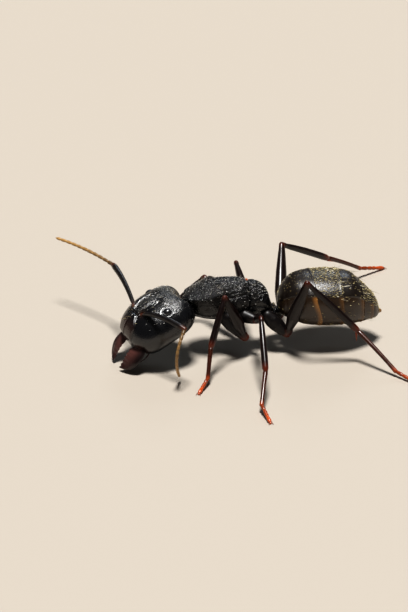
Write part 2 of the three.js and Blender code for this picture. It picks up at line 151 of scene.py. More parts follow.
head_along = np.array([
    -math.cos(HEAD_PITCH) * math.cos(HEAD_YAW),
    -math.cos(HEAD_PITCH) * math.sin(HEAD_YAW),
    -math.sin(HEAD_PITCH),
])
level_up = np.array([
    -math.sin(HEAD_PITCH) * math.cos(HEAD_YAW),
    -math.sin(HEAD_PITCH) * math.sin(HEAD_YAW),
    math.cos(HEAD_PITCH),
])
head_up = level_up * math.cos(HEAD_ROLL) + np.cross(head_along, level_up) * math.sin(HEAD_ROLL)
head_out = np.cross(head_up, head_along)  # towards the head's left


def on_head(along, out, up):
    """Millimetres forward, left and upward in the head, as the ant's millimetres."""
    parts = np.broadcast_arrays(along, out, up)
    return HEAD_CENTRE + sum(p[..., None] * axis for p, axis in zip(parts, (head_along, head_out, head_up)))


def rise(value, low, high):
    """0 below low and 1 above high, with a smooth slope between; low may be above high."""
    share = np.clip((np.asarray(value, float) - low) / (high - low), 0, 1)
    return share * share * (3 - 2 * share)


def ridge(distance, width):
    """A rounded ridge, 1 at distance 0."""
    return np.exp(-((np.asarray(distance) / width) ** 2))


def circle(sides):
    """Even angles round a ring."""
    return 2 * np.pi * np.arange(sides) / sides


def unit(vectors):
    """The vectors, each at a length of 1."""
    return vectors / (np.linalg.norm(vectors, axis=-1, keepdims=True) + 1e-12)


def outward(rings, middle):
    """The outward unit normals of a closed grid of rings."""
    across = np.roll(rings, -1, axis=1) - np.roll(rings, 1, axis=1)
    normals = unit(np.cross(np.gradient(rings, axis=0), across))
    inward = np.sum(normals * (rings - middle), axis=2).sum() < 0
    return -normals if inward else normals


def skin_mesh(name, stacks, **painted):
    """One mesh of closed skins. Each stack is rings of points in millimetres, closed to a point at both
    ends. The mesh keeps an unwrap, the lie from ring to ring, and each painted share of 0 to 1, such as
    tint, given for each stack."""
    points, faces, unwrap, lies = [], [], [], []
    shares = {share: [] for share in painted}
    start = 0
    for number, rings in enumerate(stacks):
        rings = np.asarray(rings, float)
        rows, sides, _ = rings.shape
        ends = [rings[0].mean(0)[None], rings[-1].mean(0)[None]]
        body = np.concatenate([rings.reshape(-1, 3), *ends])
        row, side = np.meshgrid(np.arange(rows - 1), np.arange(sides), indexing="ij")
        row, side = row.ravel(), side.ravel()
        after = (side + 1) % sides
        on_this_ring = (row * sides + side, row * sides + after)
        on_the_next = ((row + 1) * sides + after, (row + 1) * sides + side)
        quads = np.stack([*on_this_ring, *on_the_next], 1)
        v = np.stack([row, row, row + 1, row + 1], 1) / (rows - 1)
        u = np.stack([side, side + 1, side + 1, side], 1) / sides
        ring_side = np.arange(sides)
        ring_after = (ring_side + 1) % sides
        first, last = rows * sides, rows * sides + 1
        front = np.stack([ring_after, ring_side, np.full(sides, first)], 1)
        tail = (rows - 1) * sides
        back = np.stack([tail + ring_side, tail + ring_after, np.full(sides, last)], 1)
        front_u = np.stack([ring_side + 1, ring_side, ring_side + 0.5], 1) / sides
        back_u = np.stack([ring_side, ring_side + 1, ring_side + 0.5], 1) / sides
        a, b, c = body[quads[:, 0]], body[quads[:, 1]], body[quads[:, 2]]
        d = body[quads[:, 3]]
        turned = (np.sum(a * np.cross(b, c)) + np.sum(a * np.cross(c, d))) < 0
        groups = [
            (quads, u, v),
            (front, front_u, np.zeros((sides, 3))),
            (back, back_u, np.ones((sides, 3))),
        ]
        for corners, across, along in groups:
            if turned:
                corners, across, along = corners[:, ::-1], across[:, ::-1], along[:, ::-1]
            faces += (corners + start).tolist()
            cell = np.stack([(number + 0.02 + 0.96 * across) / len(stacks), 0.01 + 0.98 * along], 2)
            unwrap.append(cell.reshape(-1, 2))
        lie = np.gradient(rings, axis=0).reshape(-1, 3)
        lies.append(np.concatenate([lie, lie[:1], lie[-1:]]))
        for share, values in painted.items():
            flat = np.clip(np.broadcast_to(values[number], (rows, sides)).ravel(), 0, 1)
            shares[share].append(np.concatenate([flat, flat[:1], flat[-1:]]))
        points.append(body)
        start += len(body)
    mesh = bpy.data.meshes.new(name)
    mesh.from_pydata(placed(np.concatenate(points)).tolist(), [], faces)
    mesh.uv_layers.new(name="Unwrap").data.foreach_set("uv", np.concatenate(unwrap).ravel())
    lie = unit(np.concatenate(lies))
    mesh.attributes.new("lie", "FLOAT_VECTOR", "POINT").data.foreach_set("vector", lie.ravel())
    for share, values in shares.items():
        mesh.attributes.new(share, "FLOAT", "POINT").data.foreach_set("value", np.concatenate(values))
    mesh.shade_smooth()
    return mesh


def fitted(mesh, finish, slot, *stands_for):
    """Adds a finished piece, named as its mesh, in the place of the solids that it stands for."""
    piece = added(mesh.name, mesh)
    mesh.materials.clear()
    mesh.materials.append(finish)
    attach(piece, "root")
    if stands_for:
        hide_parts(*stands_for)


def wiring(tree):
    """Gives a function that adds nodes to a tree."""

    def node(kind, settings=(), **wires):
        """Adds a node with its settings, and its inputs wired to sockets or set to values. An input goes by
        its name, with _ for a space, or by its place, as in i0. Gives the shown outputs."""
        made = tree.nodes.new(kind)
        for name, value in dict(settings).items():
            setattr(made, name, value)
        shown = [socket for socket in made.inputs if socket.enabled]
        for name, source in wires.items():
            if name[1:].isdigit():
                place = shown[int(name[1:])]
            else:
                place = next(socket for socket in shown if socket.name == name.replace("_", " "))
            if isinstance(source, bpy.types.NodeSocket):
                tree.links.new(source, place)
            else:
                place.default_value = source
        return [socket for socket in made.outputs if socket.enabled]

    return node


BLOTCHES_PER_MM = 2.2
BLOTCH_GLOSS = 0.06  # how much the roughness varies from blotch to blotch
DOWN_DULLS = 0.04  # the roughness that a full share of down adds
BARE_PITS = 0.15  # how deep the pits are without down
FAC = 2  # the place of an attribute's grey value among its outputs
OBJECT = 3  # the place of the object's own coordinates among a Texture Coordinate's outputs


def cuticle(
    name, colour, tinted, roughness, grain, grain_depth, streaks=(3, 3, 24), streak_depth=0.0, ior=1.6,
):
    """Insect cuticle: a dark colour that turns to another by the tint, duller and pitted under its down.
    Grains and streaks are counted to the millimetre, and their depths are in millimetres."""
    material, shader = plain_finish(name)
    node = wiring(material.node_tree)
    tint = node("ShaderNodeAttribute", {"attribute_name": "tint"})[FAC]
    down = node("ShaderNodeAttribute", {"attribute_name": "down"})[FAC]
    where = node("ShaderNodeTexCoord")[OBJECT]
    in_mm = node("ShaderNodeMapping", Vector=where, Scale=(1 / MM, 1 / MM, 1 / MM))[0]
    blotches = node("ShaderNodeTexNoise", Vector=in_mm, Scale=BLOTCHES_PER_MM, Detail=5)[0]
    darker = (*[c * 0.55 for c in colour], 1)
    lighter = (*[min(1, c * 1.5) for c in colour], 1)
    blotched = node("ShaderNodeMix", {"data_type": "RGBA"}, Factor=blotches, A=darker, B=lighter)[0]
    turned = node("ShaderNodeMix", {"data_type": "RGBA"}, Factor=tint, A=blotched, B=(*tinted, 1))[0]
    smoothest = max(0.05, roughness - BLOTCH_GLOSS)
    gloss = node("ShaderNodeMapRange", Value=blotches, To_Min=smoothest, To_Max=roughness + BLOTCH_GLOSS)[0]
    dulled = node("ShaderNodeMath", {"operation": "MULTIPLY_ADD"}, i0=down, i1=DOWN_DULLS, i2=gloss)[0]
    pits = node("ShaderNodeTexVoronoi", Vector=in_mm, Scale=grain)[0]
    fine = node("ShaderNodeTexNoise", Vector=in_mm, Scale=grain * 3, Detail=3)[0]
    height = node("ShaderNodeMath", {"operation": "ADD"}, i0=pits, i1=fine)[0]
    pitted = node(
        "ShaderNodeMath", {"operation": "MULTIPLY_ADD"}, i0=down, i1=1 - BARE_PITS, i2=BARE_PITS)[0]
    relief = node("ShaderNodeBump", Distance=grain_depth * MM, Strength=pitted, Height=height)[0]
    drawn_out = node("ShaderNodeVectorMath", {"operation": "MULTIPLY"}, i0=in_mm, i1=streaks)[0]
    lines = node("ShaderNodeTexNoise", Vector=drawn_out, Scale=1, Detail=2)[0]
    lined = node("ShaderNodeBump", Distance=streak_depth * MM, Height=lines, Normal=relief)[0]
    for label, source in (("Base Color", turned), ("Roughness", dulled), ("Normal", lined)):
        material.node_tree.links.new(source, shader.inputs[label])
    shader.inputs["IOR"].default_value = ior
    return material


share = -np.cos(np.pi * (np.arange(HEAD_ROWS) + 0.5) / HEAD_ROWS)  # -1 at the nape to 1 at the mouth
turn = circle(HEAD_SIDES)
share, turn = np.meshgrid(share, turn, indexing="ij")
squareness = 3 + 0.9 * rise(share, 0.1, 0.8)
girth = (1 - np.abs(share) ** squareness) ** (1 / squareness)
forward = np.maximum(share, 0)
cheek_fullness = np.where(np.sin(turn) > 0, 1, 1 - 0.2 * rise(share, 0.15, 0.7))
across = np.sign(np.cos(turn)) * np.abs(np.cos(turn)) ** cheek_fullness
upright = np.sign(np.sin(turn)) * np.abs(np.sin(turn)) ** cheek_fullness
out = HEAD_HALF_WIDTH * (1 - HEAD_TAPER * forward ** 2) * girth * across
top = 1 - BROW_DROP * forward ** 2
underside = 0.82 + 0.1 * rise(share, -0.1, 0.6)
depth_share = np.where(np.sin(turn) > 0, top, underside - CHIN_RISE * forward ** 2)
up = HEAD_HALF_DEPTH * depth_share * girth * upright
hollow = np.maximum(0, -share) ** 3 * np.maximum(0, 1 - (out / HEAD_NOTCH_HALF_WIDTH) ** 2)
along = HEAD_HALF_LENGTH * share + HEAD_NOTCH * hollow
side_out = np.abs(out)
on_top = rise(up, 0.15, 0.5)

# Frontal ridges over the feeler sockets, with the hollows beside them.
FRONTAL_RIDGE_HEIGHT = 0.085
FRONTAL_RIDGE_WIDTH = 0.045
BETWEEN_RIDGES_HEIGHT = 0.03
INNER_FURROW_DEPTH = 0.05
SOCKET_HOLLOW_DEPTH = 0.11
ridge_out = 0.27 + 0.2 * rise(along, 0.75, 0.2) - 0.05 * rise(along, 0, -0.5)
ridge_run = rise(along, -0.55, -0.15) * rise(along, 0.86, 0.72)
relief = FRONTAL_RIDGE_HEIGHT * ridge_run * ridge(side_out - ridge_out, FRONTAL_RIDGE_WIDTH)
relief += BETWEEN_RIDGES_HEIGHT * ridge_run * rise(side_out, ridge_out + 0.02, ridge_out - 0.06)
relief -= INNER_FURROW_DEPTH * ridge_run * ridge(side_out - ridge_out + 0.13, 0.06)
beside_ridge = ridge(side_out - ridge_out - 0.16, 0.12)
relief -= SOCKET_HOLLOW_DEPTH * ridge((along - 0.5) / 1.7, 0.17) * beside_ridge
SOCKET = (0.6, 0.5, 1.03)
SOCKET_RADIUS = 0.15
SOCKET_RIM_HEIGHT = 0.045
SOCKET_DEPTH = 0.06
socket_ring = np.hypot(along - SOCKET[0], side_out - SOCKET[1])
relief += SOCKET_RIM_HEIGHT * ridge(socket_ring - SOCKET_RADIUS, 0.03)
relief -= SOCKET_DEPTH * ridge(socket_ring, 0.09)
# Frontal triangle and the fine line behind it.
TRIANGLE_DEPTH = 0.03
MIDLINE_DEPTH = 0.014
relief -= TRIANGLE_DEPTH * ridge(along - 0.74, 0.07) * ridge(out, 0.12)
relief -= MIDLINE_DEPTH * ridge(out, 0.03) * rise(along, -0.5, -0.2) * rise(along, 0.72, 0.6)
# Clypeus: a raised plate with a keel, set off by a groove.
CLYPEUS_REAR = 0.82
CLYPEUS_HEIGHT = 0.06
CLYPEUS_GROOVE_DEPTH = 0.045
KEEL_HEIGHT = 0.04
clypeus_half_width = 0.34 + 0.34 * rise(along, 0.8, 1.3)
clypeus_edge = np.maximum(side_out - clypeus_half_width, CLYPEUS_REAR - along)
relief += CLYPEUS_HEIGHT * rise(clypeus_edge, 0, -0.1)
relief -= CLYPEUS_GROOVE_DEPTH * ridge(clypeus_edge - 0.02, 0.03) * rise(along, 0.7, 0.85)
relief += KEEL_HEIGHT * ridge(out, 0.05) * rise(clypeus_edge, 0, -0.15)
relief *= on_top
# Rims round the eyes.
EYE_ALONG, EYE_OUT, EYE_UP = -0.44, 1.09, 0.75
EYE_LEAN = math.radians(56)
EYE_HALF_LENGTH = 0.26
EYE_HALF_WIDTH = 0.205
EYE_RIM_HEIGHT = 0.006
EYE_GROOVE_DEPTH = 0.03
eye_across = (up - EYE_UP) * math.cos(EYE_LEAN) - (side_out - EYE_OUT) * math.sin(EYE_LEAN)
eye_ring = np.hypot((along - EYE_ALONG) / EYE_HALF_LENGTH, eye_across / EYE_HALF_WIDTH)
eye_rim = EYE_RIM_HEIGHT * ridge(eye_ring - 1.4, 0.2) - EYE_GROOVE_DEPTH * ridge(eye_ring - 1.05, 0.1)
relief += rise(side_out, 0.4, 0.8) * eye_rim
# Jaw sockets at the front corners, the mouth below, and the seam under the head.
JAW_SOCKET = (1.42, 0.98, -0.2)
JAW_SOCKET_DEPTH = 0.13
MOUTH_DEPTH = 0.12
GULAR_SEAM_DEPTH = 0.02
from_jaw = ((along, JAW_SOCKET[0]), (side_out, JAW_SOCKET[1]), (up, JAW_SOCKET[2]))
jaw_corner = np.sqrt(sum((place - centre) ** 2 for place, centre in from_jaw))
relief -= JAW_SOCKET_DEPTH * ridge(jaw_corner, 0.26)
relief -= MOUTH_DEPTH * rise(along, 0.7, 1.1) * rise(up, -0.25, -0.6) * rise(side_out, 0.55, 0.35)
relief -= GULAR_SEAM_DEPTH * ridge(out, 0.035) * rise(up, -0.3, -0.6)

head_rings = on_head(along, out, up)
head_rings = head_rings + relief[..., None] * outward(head_rings, HEAD_CENTRE)
head_tint = 0.22 * rise(clypeus_edge, 0.05, -0.1) * on_top * rise(along, 0.9, 1.4)
head_tint += 0.5 * ridge(socket_ring, SOCKET_RADIUS) * on_top + 0.5 * ridge(jaw_corner, 0.3)
bare_eye = rise(eye_ring, 1.15, 1.5) * rise(side_out, 0.4, 0.8) + rise(side_out, 0.8, 0.4)
crown = np.maximum(rise(along, -0.4, -0.9), rise(side_out, 0.5, 0.25))
upper_cover = (0.03 + 0.97 * rise(up, 0.45, 0.85)) * bare_eye * rise(along, 1.0, 0.2)
head_cover = upper_cover * (0.15 + 0.85 * crown)
head_bristles = (0.05 + 0.95 * rise(up, 0.5, 0.9)) * bare_eye * rise(side_out, 1.3, 0.9)
head_mesh = skin_mesh(
    "head_capsule", [head_rings], tint=[head_tint], down=[head_cover], bristles=[head_bristles])
black_cuticle = cuticle(
    "black_cuticle", colour=(0.006, 0.006, 0.0075), tinted=(0.10, 0.034, 0.018), roughness=0.25,
    grain=12, grain_depth=0.018, streaks=(3, 3, 9), streak_depth=0.004, ior=1.85)
fitted(head_mesh, black_cuticle, "shell", "head")

# ---- Eyes ----
# Two compound eyes of clear black lenses, each a low dome of some hundreds of six-sided facets,
# set in a rim on the head's upper sides.

EYE_HALF_DEPTH = 0.25
FACET_STEPS = 4
FACET_BULGE = 0.003
FACET_TOP = 0.55  # the share of a facet that its flat top takes up


def mesh_tree(name, inputs):
    """A node tree that takes a mesh and the named inputs, given with their kinds. Gives the tree, the
    sockets of its inputs and the function that adds nodes to it."""
    tree = bpy.data.node_groups.new(name, "GeometryNodeTree")
    tree.is_modifier = True
    for label, kind in {"Geometry": "Geometry", **inputs}.items():
        tree.interface.new_socket(label, in_out="INPUT", socket_type=f"NodeSocket{kind}")
    tree.interface.new_socket("Geometry", in_out="OUTPUT", socket_type="NodeSocketGeometry")
    return tree, tree.nodes.new("NodeGroupInput").outputs, wiring(tree)


def facet_tree():
    """Nodes that dome every facet of a faceted ball."""
    inputs = {"Facet Steps": "Int", "Bulge": "Float", "Material": "Material"}
    tree, given, node = mesh_tree("eye_facets", inputs)
    ball = node("GeometryNodeMeshIcoSphere", Radius=1, Subdivisions=given["Facet Steps"])[0]
    cells = node("GeometryNodeDualMesh", Mesh=ball)[0]
    domes, tops, _ = node(
        "GeometryNodeExtrudeMesh", Mesh=cells, Offset_Scale=given["Bulge"], Individual=True)
    lens = node("GeometryNodeScaleElements", Geometry=domes, Selection=tops, Scale=FACET_TOP)[0]
    lens = node("GeometryNodeRealizeInstances", Geometry=lens)[0]
    lens = node("GeometryNodeSetMaterial", Geometry=lens, Material=given["Material"])[0]
    node("NodeGroupOutput", Geometry=lens)
    return tree


def grown(mesh, tree, **inputs):
    """The plain mesh that a node tree grows on a mesh, its inputs given by name with _ for a space."""
    base = added("growing", mesh)
    modifier = base.modifiers.new("growth", "NODES")
    modifier.node_group = tree
    for item in tree.interface.items_tree:
        key = item.name.replace(" ", "_").lower()
        if item.in_out == "INPUT" and key in inputs:
            modifier[item.identifier] = inputs[key]
    graph = bpy.context.evaluated_depsgraph_get()
    result = bpy.data.meshes.new_from_object(
        base.evaluated_get(graph), preserve_all_data_layers=True, depsgraph=graph)
    base.modifiers.clear()
    bpy.data.objects.remove(base)
    return result


eye_lens = cuticle(
    "eye_lens", colour=(0.010, 0.010, 0.013), tinted=(0.03, 0.03, 0.04), roughness=0.34,
    grain=4, grain_depth=0.0005, ior=1.9)
eye_nodes = facet_tree()
for side_name, side in (("left", 1), ("right", -1)):
    seed_mesh = bpy.data.meshes.new("eye_seed")
    eye_mesh = grown(
        seed_mesh, eye_nodes, facet_steps=FACET_STEPS, bulge=FACET_BULGE, material=eye_lens)
    ball = np.empty(len(eye_mesh.vertices) * 3)
    eye_mesh.vertices.foreach_get("co", ball)
    ball = ball.reshape(-1, 3)
    lens_deep = EYE_HALF_DEPTH * ball[:, 1]
    lens_across = EYE_HALF_WIDTH * ball[:, 2]
    lens_out = EYE_OUT + lens_deep * math.cos(EYE_LEAN) - lens_across * math.sin(EYE_LEAN)
    lens_up = EYE_UP + lens_deep * math.sin(EYE_LEAN) + lens_across * math.cos(EYE_LEAN)
    lens = placed(on_head(EYE_ALONG + EYE_HALF_LENGTH * ball[:, 0], side * lens_out, lens_up))
    eye_mesh.vertices.foreach_set("co", lens.ravel())
    if side < 0:
        eye_mesh.flip_normals()
    eye_mesh.update()
    eye_mesh.name = f"compound_eye_{side_name}"
    fitted(eye_mesh, eye_lens, "eye", f"eye_{side_name}")

# ---- Jaws and mouthparts ----
# Two curved triangular jaws of hard dark red cuticle, hinged at the head's front corners, each with
# five teeth on its inner edge. Under them a soft tongue plate carries four thin jointed palps.

JAW_BASE = 1.4
JAW_LENGTH = 1.48
JAW_HEIGHT = -0.2
JAW_TEETH = 5
JAW_TOOTHED_SHARE = 0.66
JAW_THICK = 0.21
JAW_DROOPS = {"left": math.radians(30), "right": math.radians(28)}
JAW_TWISTS = {"left": math.radians(22), "right": math.radians(6)}  # how far the outer edge hangs down
JAW_PIVOT_OUT = 0.85
JAW_STEPS = 110
JAW_SIDES = 40
JAW_OUTER_EDGE = [(0, 1.18), (0.45 * JAW_LENGTH, 1.5), (0.92 * JAW_LENGTH, 1.3), (JAW_LENGTH * 1.01, 0.38)]
JAW_TOOTH_SIZES = [0.06, 0.08, 0.06]  # at the tip, the next tooth and the innermost one
JAW_BULGE = 0.1
JAW_FURROW_DEPTH = 0.02
JAW_HINGE = {"along": (1.25, 1.5), "out": (0.98, 0.96), "up": (-0.22, -0.28), "radii": (0.12, 0.13)}


def bezier(points, steps):
    """Even steps along a Bezier curve of three or four points."""
    points = np.asarray(points, float)
    t = np.linspace(0, 1, steps)[:, None]
    if len(points) == 3:
        return (1 - t) ** 2 * points[0] + 2 * t * (1 - t) * points[1] + t ** 2 * points[2]
    inner = 3 * t * (1 - t) ** 2 * points[1] + 3 * t ** 2 * (1 - t) * points[2]
    return (1 - t) ** 3 * points[0] + inner + t ** 3 * points[3]


DOME_RINGS = (80, 60, 40, 20)  # degrees up the dome that ends a tube


def tube(path, radii, sides=20, squeeze=1.0, broad=(0.31, 0.22, 0.93), dome=0.9):
    """Rings round a path, with a dome on each end. squeeze narrows them across the broad direction."""
    path = np.asarray(path, float)
    radii = np.broadcast_to(np.asarray(radii, float), len(path)).copy()
    along = unit(np.gradient(path, axis=0))
    angles = np.radians(DOME_RINGS)
    cap = dome * np.sin(angles)[:, None]
    start = path[0] - along[0] * radii[0] * cap
    end = path[-1] + along[-1] * radii[-1] * cap[::-1]
    path = np.concatenate([start, path, end])
    more = len(DOME_RINGS)
    along = np.concatenate([np.repeat(along[:1], more, 0), along, np.repeat(along[-1:], more, 0)])
    radii = np.concatenate([radii[0] * np.cos(angles), radii, radii[-1] * np.cos(angles[::-1])])
    broad = np.asarray(broad, float)
    wide = unit(broad - along * (along @ broad)[:, None])
    thin = np.cross(along, wide)
    angle = circle(sides)[None, :, None]
    ring = np.cos(angle) * wide[:, None] + squeeze * np.sin(angle) * thin[:, None]
    return path[:, None] + radii[:, None, None] * ring


def domed(values):
    """A share given along a tube's path, held on over its two domed ends."""
    more = len(DOME_RINGS)
    return np.concatenate([[values[0]] * more, values, [values[-1]] * more])[:, None]


def jaw_rings(side, droop, twist):
    """A jaw's rings from its hinge to its tip, and how far each point shows the inner side's red."""
    reach = JAW_LENGTH * np.linspace(-0.16, 1, JAW_STEPS)
    outline = bezier(JAW_OUTER_EDGE, 200)
    outer = np.interp(reach, outline[:, 0], outline[:, 1])
    outer -= 0.22 * rise(reach, 0.12, -0.2)
    toothed_from = JAW_LENGTH * (1 - JAW_TOOTHED_SHARE)
    inner = np.interp(reach, [-0.2, 0, toothed_from, JAW_LENGTH], [0.75, 0.62, 0.44, 0.42])
    tooth = (JAW_LENGTH - reach) / (JAW_LENGTH - toothed_from) * JAW_TEETH
    bite = np.where(reach > toothed_from - 0.02, np.abs(tooth - np.round(tooth)) * 2, 0.6)
    size = np.interp(tooth, [0, 1, JAW_TEETH], JAW_TOOTH_SIZES)
    inner = inner - 0.05 + size * bite * (reach > toothed_from - 0.02)
    inner = np.minimum(inner, outer - 0.01)
    angle = circle(JAW_SIDES)
    middle, half = (outer + inner) / 2, (outer - inner) / 2
    across = middle[:, None] + half[:, None] * np.cos(angle)
    thick = JAW_THICK * (1 - 0.45 * rise(reach, 0.1, JAW_LENGTH))
    thick *= np.clip((outer - inner) / 0.3, 0.15, 1) * (0.5 + 0.5 * rise(reach, -0.24, 0.1))
    lens = np.sin(angle) * (0.62 + 0.38 * np.cos(angle))
    above = thick[:, None] * lens + JAW_BULGE * ridge(reach - 0.75, 0.5)[:, None]
    reach = np.broadcast_to(reach[:, None], across.shape)
    furrow = JAW_FURROW_DEPTH * ridge(across - middle[:, None] - 0.12, 0.05) * rise(reach, 0.1, 0.3)
    above = above - furrow * np.sign(np.sin(angle))
    inwards = across - JAW_PIVOT_OUT
    glow = np.clip(1.1 - reach / JAW_LENGTH, 0, 1) * rise(inwards, 0.45, -0.2)
    across = JAW_PIVOT_OUT + inwards * math.cos(twist) + above * math.sin(twist)
    above = above * math.cos(twist) - inwards * math.sin(twist)
    ahead = JAW_BASE + reach * math.cos(droop) + above * math.sin(droop)
    higher = JAW_HEIGHT - reach * math.sin(droop) + above * math.cos(droop)
    return on_head(ahead, side * across, higher), glow


jaw_cuticle = cuticle(
    "jaw_cuticle", colour=(0.012, 0.006, 0.006), tinted=(0.15, 0.065, 0.055), roughness=0.3,
    grain=6, grain_depth=0.008)
for side_name, side in (("left", 1), ("right", -1)):
    rings, inner_glow = jaw_rings(side, JAW_DROOPS[side_name], JAW_TWISTS[side_name])
    hinge_route = on_head(JAW_HINGE["along"], side * np.array(JAW_HINGE["out"]), JAW_HINGE["up"])
    hinge = tube(hinge_route, JAW_HINGE["radii"])
    jaw_mesh = skin_mesh(f"jaw_{side_name}", [rings, hinge], tint=[inner_glow, 0])
    fitted(jaw_mesh, jaw_cuticle, "jaw", f"mandible_{side_name}")

TONGUE = {"along": (0.75, 1.1, 1.45), "up": (-0.86, -0.8, -0.6), "radii": (0.2, 0.26, 0.14)}
PALPS = [
    {"out": 0.3, "bends": [(0.95, -0.93), (1.3, -1.3), (1.95, -1.05)], "thickness": 0.034},
    {"out": 0.14, "bends": [(1.25, -0.86), (1.6, -1.1), (2.0, -0.85)], "thickness": 0.028},
]
PALP_JOINTS = 5
PALP_STEPS = 60
tongue_route = on_head(TONGUE["along"], 0, TONGUE["up"])
mouth_stacks = [tube(tongue_route, TONGUE["radii"], 24, 1.5, head_up)]
for side in (1, -1):
    for palp in PALPS:
        corners = []
        for number, (palp_along, palp_up) in enumerate(palp["bends"]):
            palp_out = side * palp["out"] * (1 + 0.5 * number)
            corners.append(on_head(palp_along, palp_out, palp_up))
        bead = np.abs(np.sin(np.linspace(0, PALP_JOINTS * np.pi, PALP_STEPS))) ** 0.35
        palp_radii = palp["thickness"] * (0.6 + 0.4 * bead) * np.linspace(1, 0.7, PALP_STEPS)
        mouth_stacks.append(tube(bezier(corners, PALP_STEPS), palp_radii, 10))
mouth_mesh = skin_mesh("mouthparts", mouth_stacks, tint=[0.3] + [0.6] * 4)
fitted(mouth_mesh, jaw_cuticle, "jaw")

# ---- Feelers ----
# Each feeler is a long stiff stem set in a socket under the frontal ridge, and a whip of eleven
# short joints, from dark brown at the elbow to gold towards the tip, thinly furred.

STEM_STEPS = 70
WHIP_JOINTS = 11
WHIP_STEPS_PER_JOINT = 9
STEM_SHARES = [0, 0.02, 0.05, 0.12, 0.5, 0.93, 1]
STEM_RADII = [0.12, 0.1, 0.07, 0.1, 0.118, 0.145, 0.12]
WHIP_JOINT_SHARES = [0, 0.1, 0.3, 0.9, 1]
WHIP_JOINT_RADII = [0.045, 0.062, 0.078, 0.086, 0.06]
FEELERS = {
    "left": {
        "side": 1, "arch": (-4.0, -2.3, 3.5), "elbow": (-2.8, -3.67, 3.08),
        "bow": (-3.65, -5.1, 2.2), "tip": (-2.95, -3.05, 0.3),
    },
    "right": {
        "side": -1, "arch": (-4.85, 1.6, 3.4), "elbow": (-5.21, 3.2, 3.5),
        "bow": (-6.3, 4.95, 3.75), "tip": (-7.62, 6.4, 3.72),
    },
}
stem_cuticle = cuticle(
    "stem_cuticle", colour=(0.010, 0.008, 0.008), tinted=(0.10, 0.035, 0.02), roughness=0.3,
    grain=12, grain_depth=0.002)
whip_cuticle = cuticle(
    "whip_cuticle", colour=(0.030, 0.017, 0.010), tinted=(0.5, 0.3, 0.11), roughness=0.34,
    grain=14, grain_depth=0.002)
feeler_meshes = {}
for side_name, feeler in FEELERS.items():
    socket = on_head(SOCKET[0], feeler["side"] * SOCKET[1], SOCKET[2] + 0.02)
    stem = bezier([socket, feeler["arch"], feeler["elbow"]], STEM_STEPS)
    run = np.linspace(0, 1, STEM_STEPS)
    stem_radii = np.interp(run, STEM_SHARES, STEM_RADII)
    stem_tint = np.maximum(ridge(run, 0.06), ridge(run - 1, 0.05))
    stem_stack = tube(stem, stem_radii)
    whip_steps = WHIP_JOINTS * WHIP_STEPS_PER_JOINT
    whip = bezier([feeler["elbow"], feeler["bow"], feeler["tip"]], whip_steps)
    joint, within = np.divmod(np.linspace(0, WHIP_JOINTS - 1e-6, whip_steps), 1)
    whip_radii = np.interp(within, WHIP_JOINT_SHARES, WHIP_JOINT_RADII)
    whip_radii = whip_radii * np.interp(joint, [0, 1, 4, 10], [1.1, 0.95, 1, 0.86])
    whip_radii *= np.where(joint == WHIP_JOINTS - 1, np.interp(within, [0.6, 1], [1, 0.35]), 1)
    whip_tint = np.interp(joint + within, [0, 3, WHIP_JOINTS], [0.15, 0.5, 1]) + 0.3 * ridge(within, 0.15)
    whip_stack = tube(whip, whip_radii)
    stem_mesh = skin_mesh(f"feeler_stem_{side_name}", [stem_stack], tint=[domed(stem_tint)], down=[0.6])
    whip_mesh = skin_mesh(f"feeler_whip_{side_name}", [whip_stack], tint=[domed(whip_tint)], down=[1])
    fitted(stem_mesh, stem_cuticle, "limb_shell", f"scape_{side_name}")
    fitted(whip_mesh, whip_cuticle, "feeler", f"funiculus_{side_name}")
    feeler_meshes[f"stem_{side_name}"] = stem_mesh
    feeler_meshes[f"whip_{side_name}"] = whip_mesh

# ---- Trunk ----
# Three plates of the same black cuticle, thick enough to overlap at their seams: a saddle behind the
# neck, the middle ring that carries the middle legs, and the arched rear ring with its breathing holes.

# Each row holds x, then the trunk's top, bottom and half width there. A seam's rows hold z and x.
TRUNK = [
    (-2.32, 2.98, 2.5, 0.3),
    (-1.98, 3.31, 2.18, 0.68),
    (-1.49, 3.62, 1.97, 0.92),
    (-1.09, 3.87, 1.86, 0.98),
    (-0.6, 3.88, 1.8, 0.86),
    (-0.1, 3.89, 1.78, 0.75),
    (0.5, 3.83, 1.8, 0.7),
    (0.86, 3.72, 1.83, 0.62),
    (1.25, 3.65, 1.86, 0.63),
    (1.6, 3.41, 1.88, 0.58),
    (1.85, 3.01, 1.9, 0.48),
    (1.98, 2.55, 1.93, 0.36),
    (2.12, 2.2, 1.98, 0.22),
]
TRUNK_SIDES = 260
PRONOTUM_SEAM = [(1.2, -0.8), (2.6, -0.34), (3.1, -0.24), (3.55, -0.5), (3.9, -1.0), (4.2, -1.06)]
PROPODEUM_SEAM = [(1.2, 0.72), (2.9, 0.88), (4.2, 0.8)]
LIP = 0.07  # how far a plate runs under or over the next one
TUCK_DEPTH = 0.9  # how far in a plate's front edge is tucked, in lips
EDGE_ROLL = 0.3  # how far a plate's rear edge swells, in lips
UNDER_ROWS = (0.35, 0.8, 1.3)  # the rows that turn in under a plate's rear edge, as steps inwards
UNDER_INWARDS = 1.2  # how far in a step goes, in lips
UNDER_FORWARDS = 0.35  # how far forward a step goes, in lips


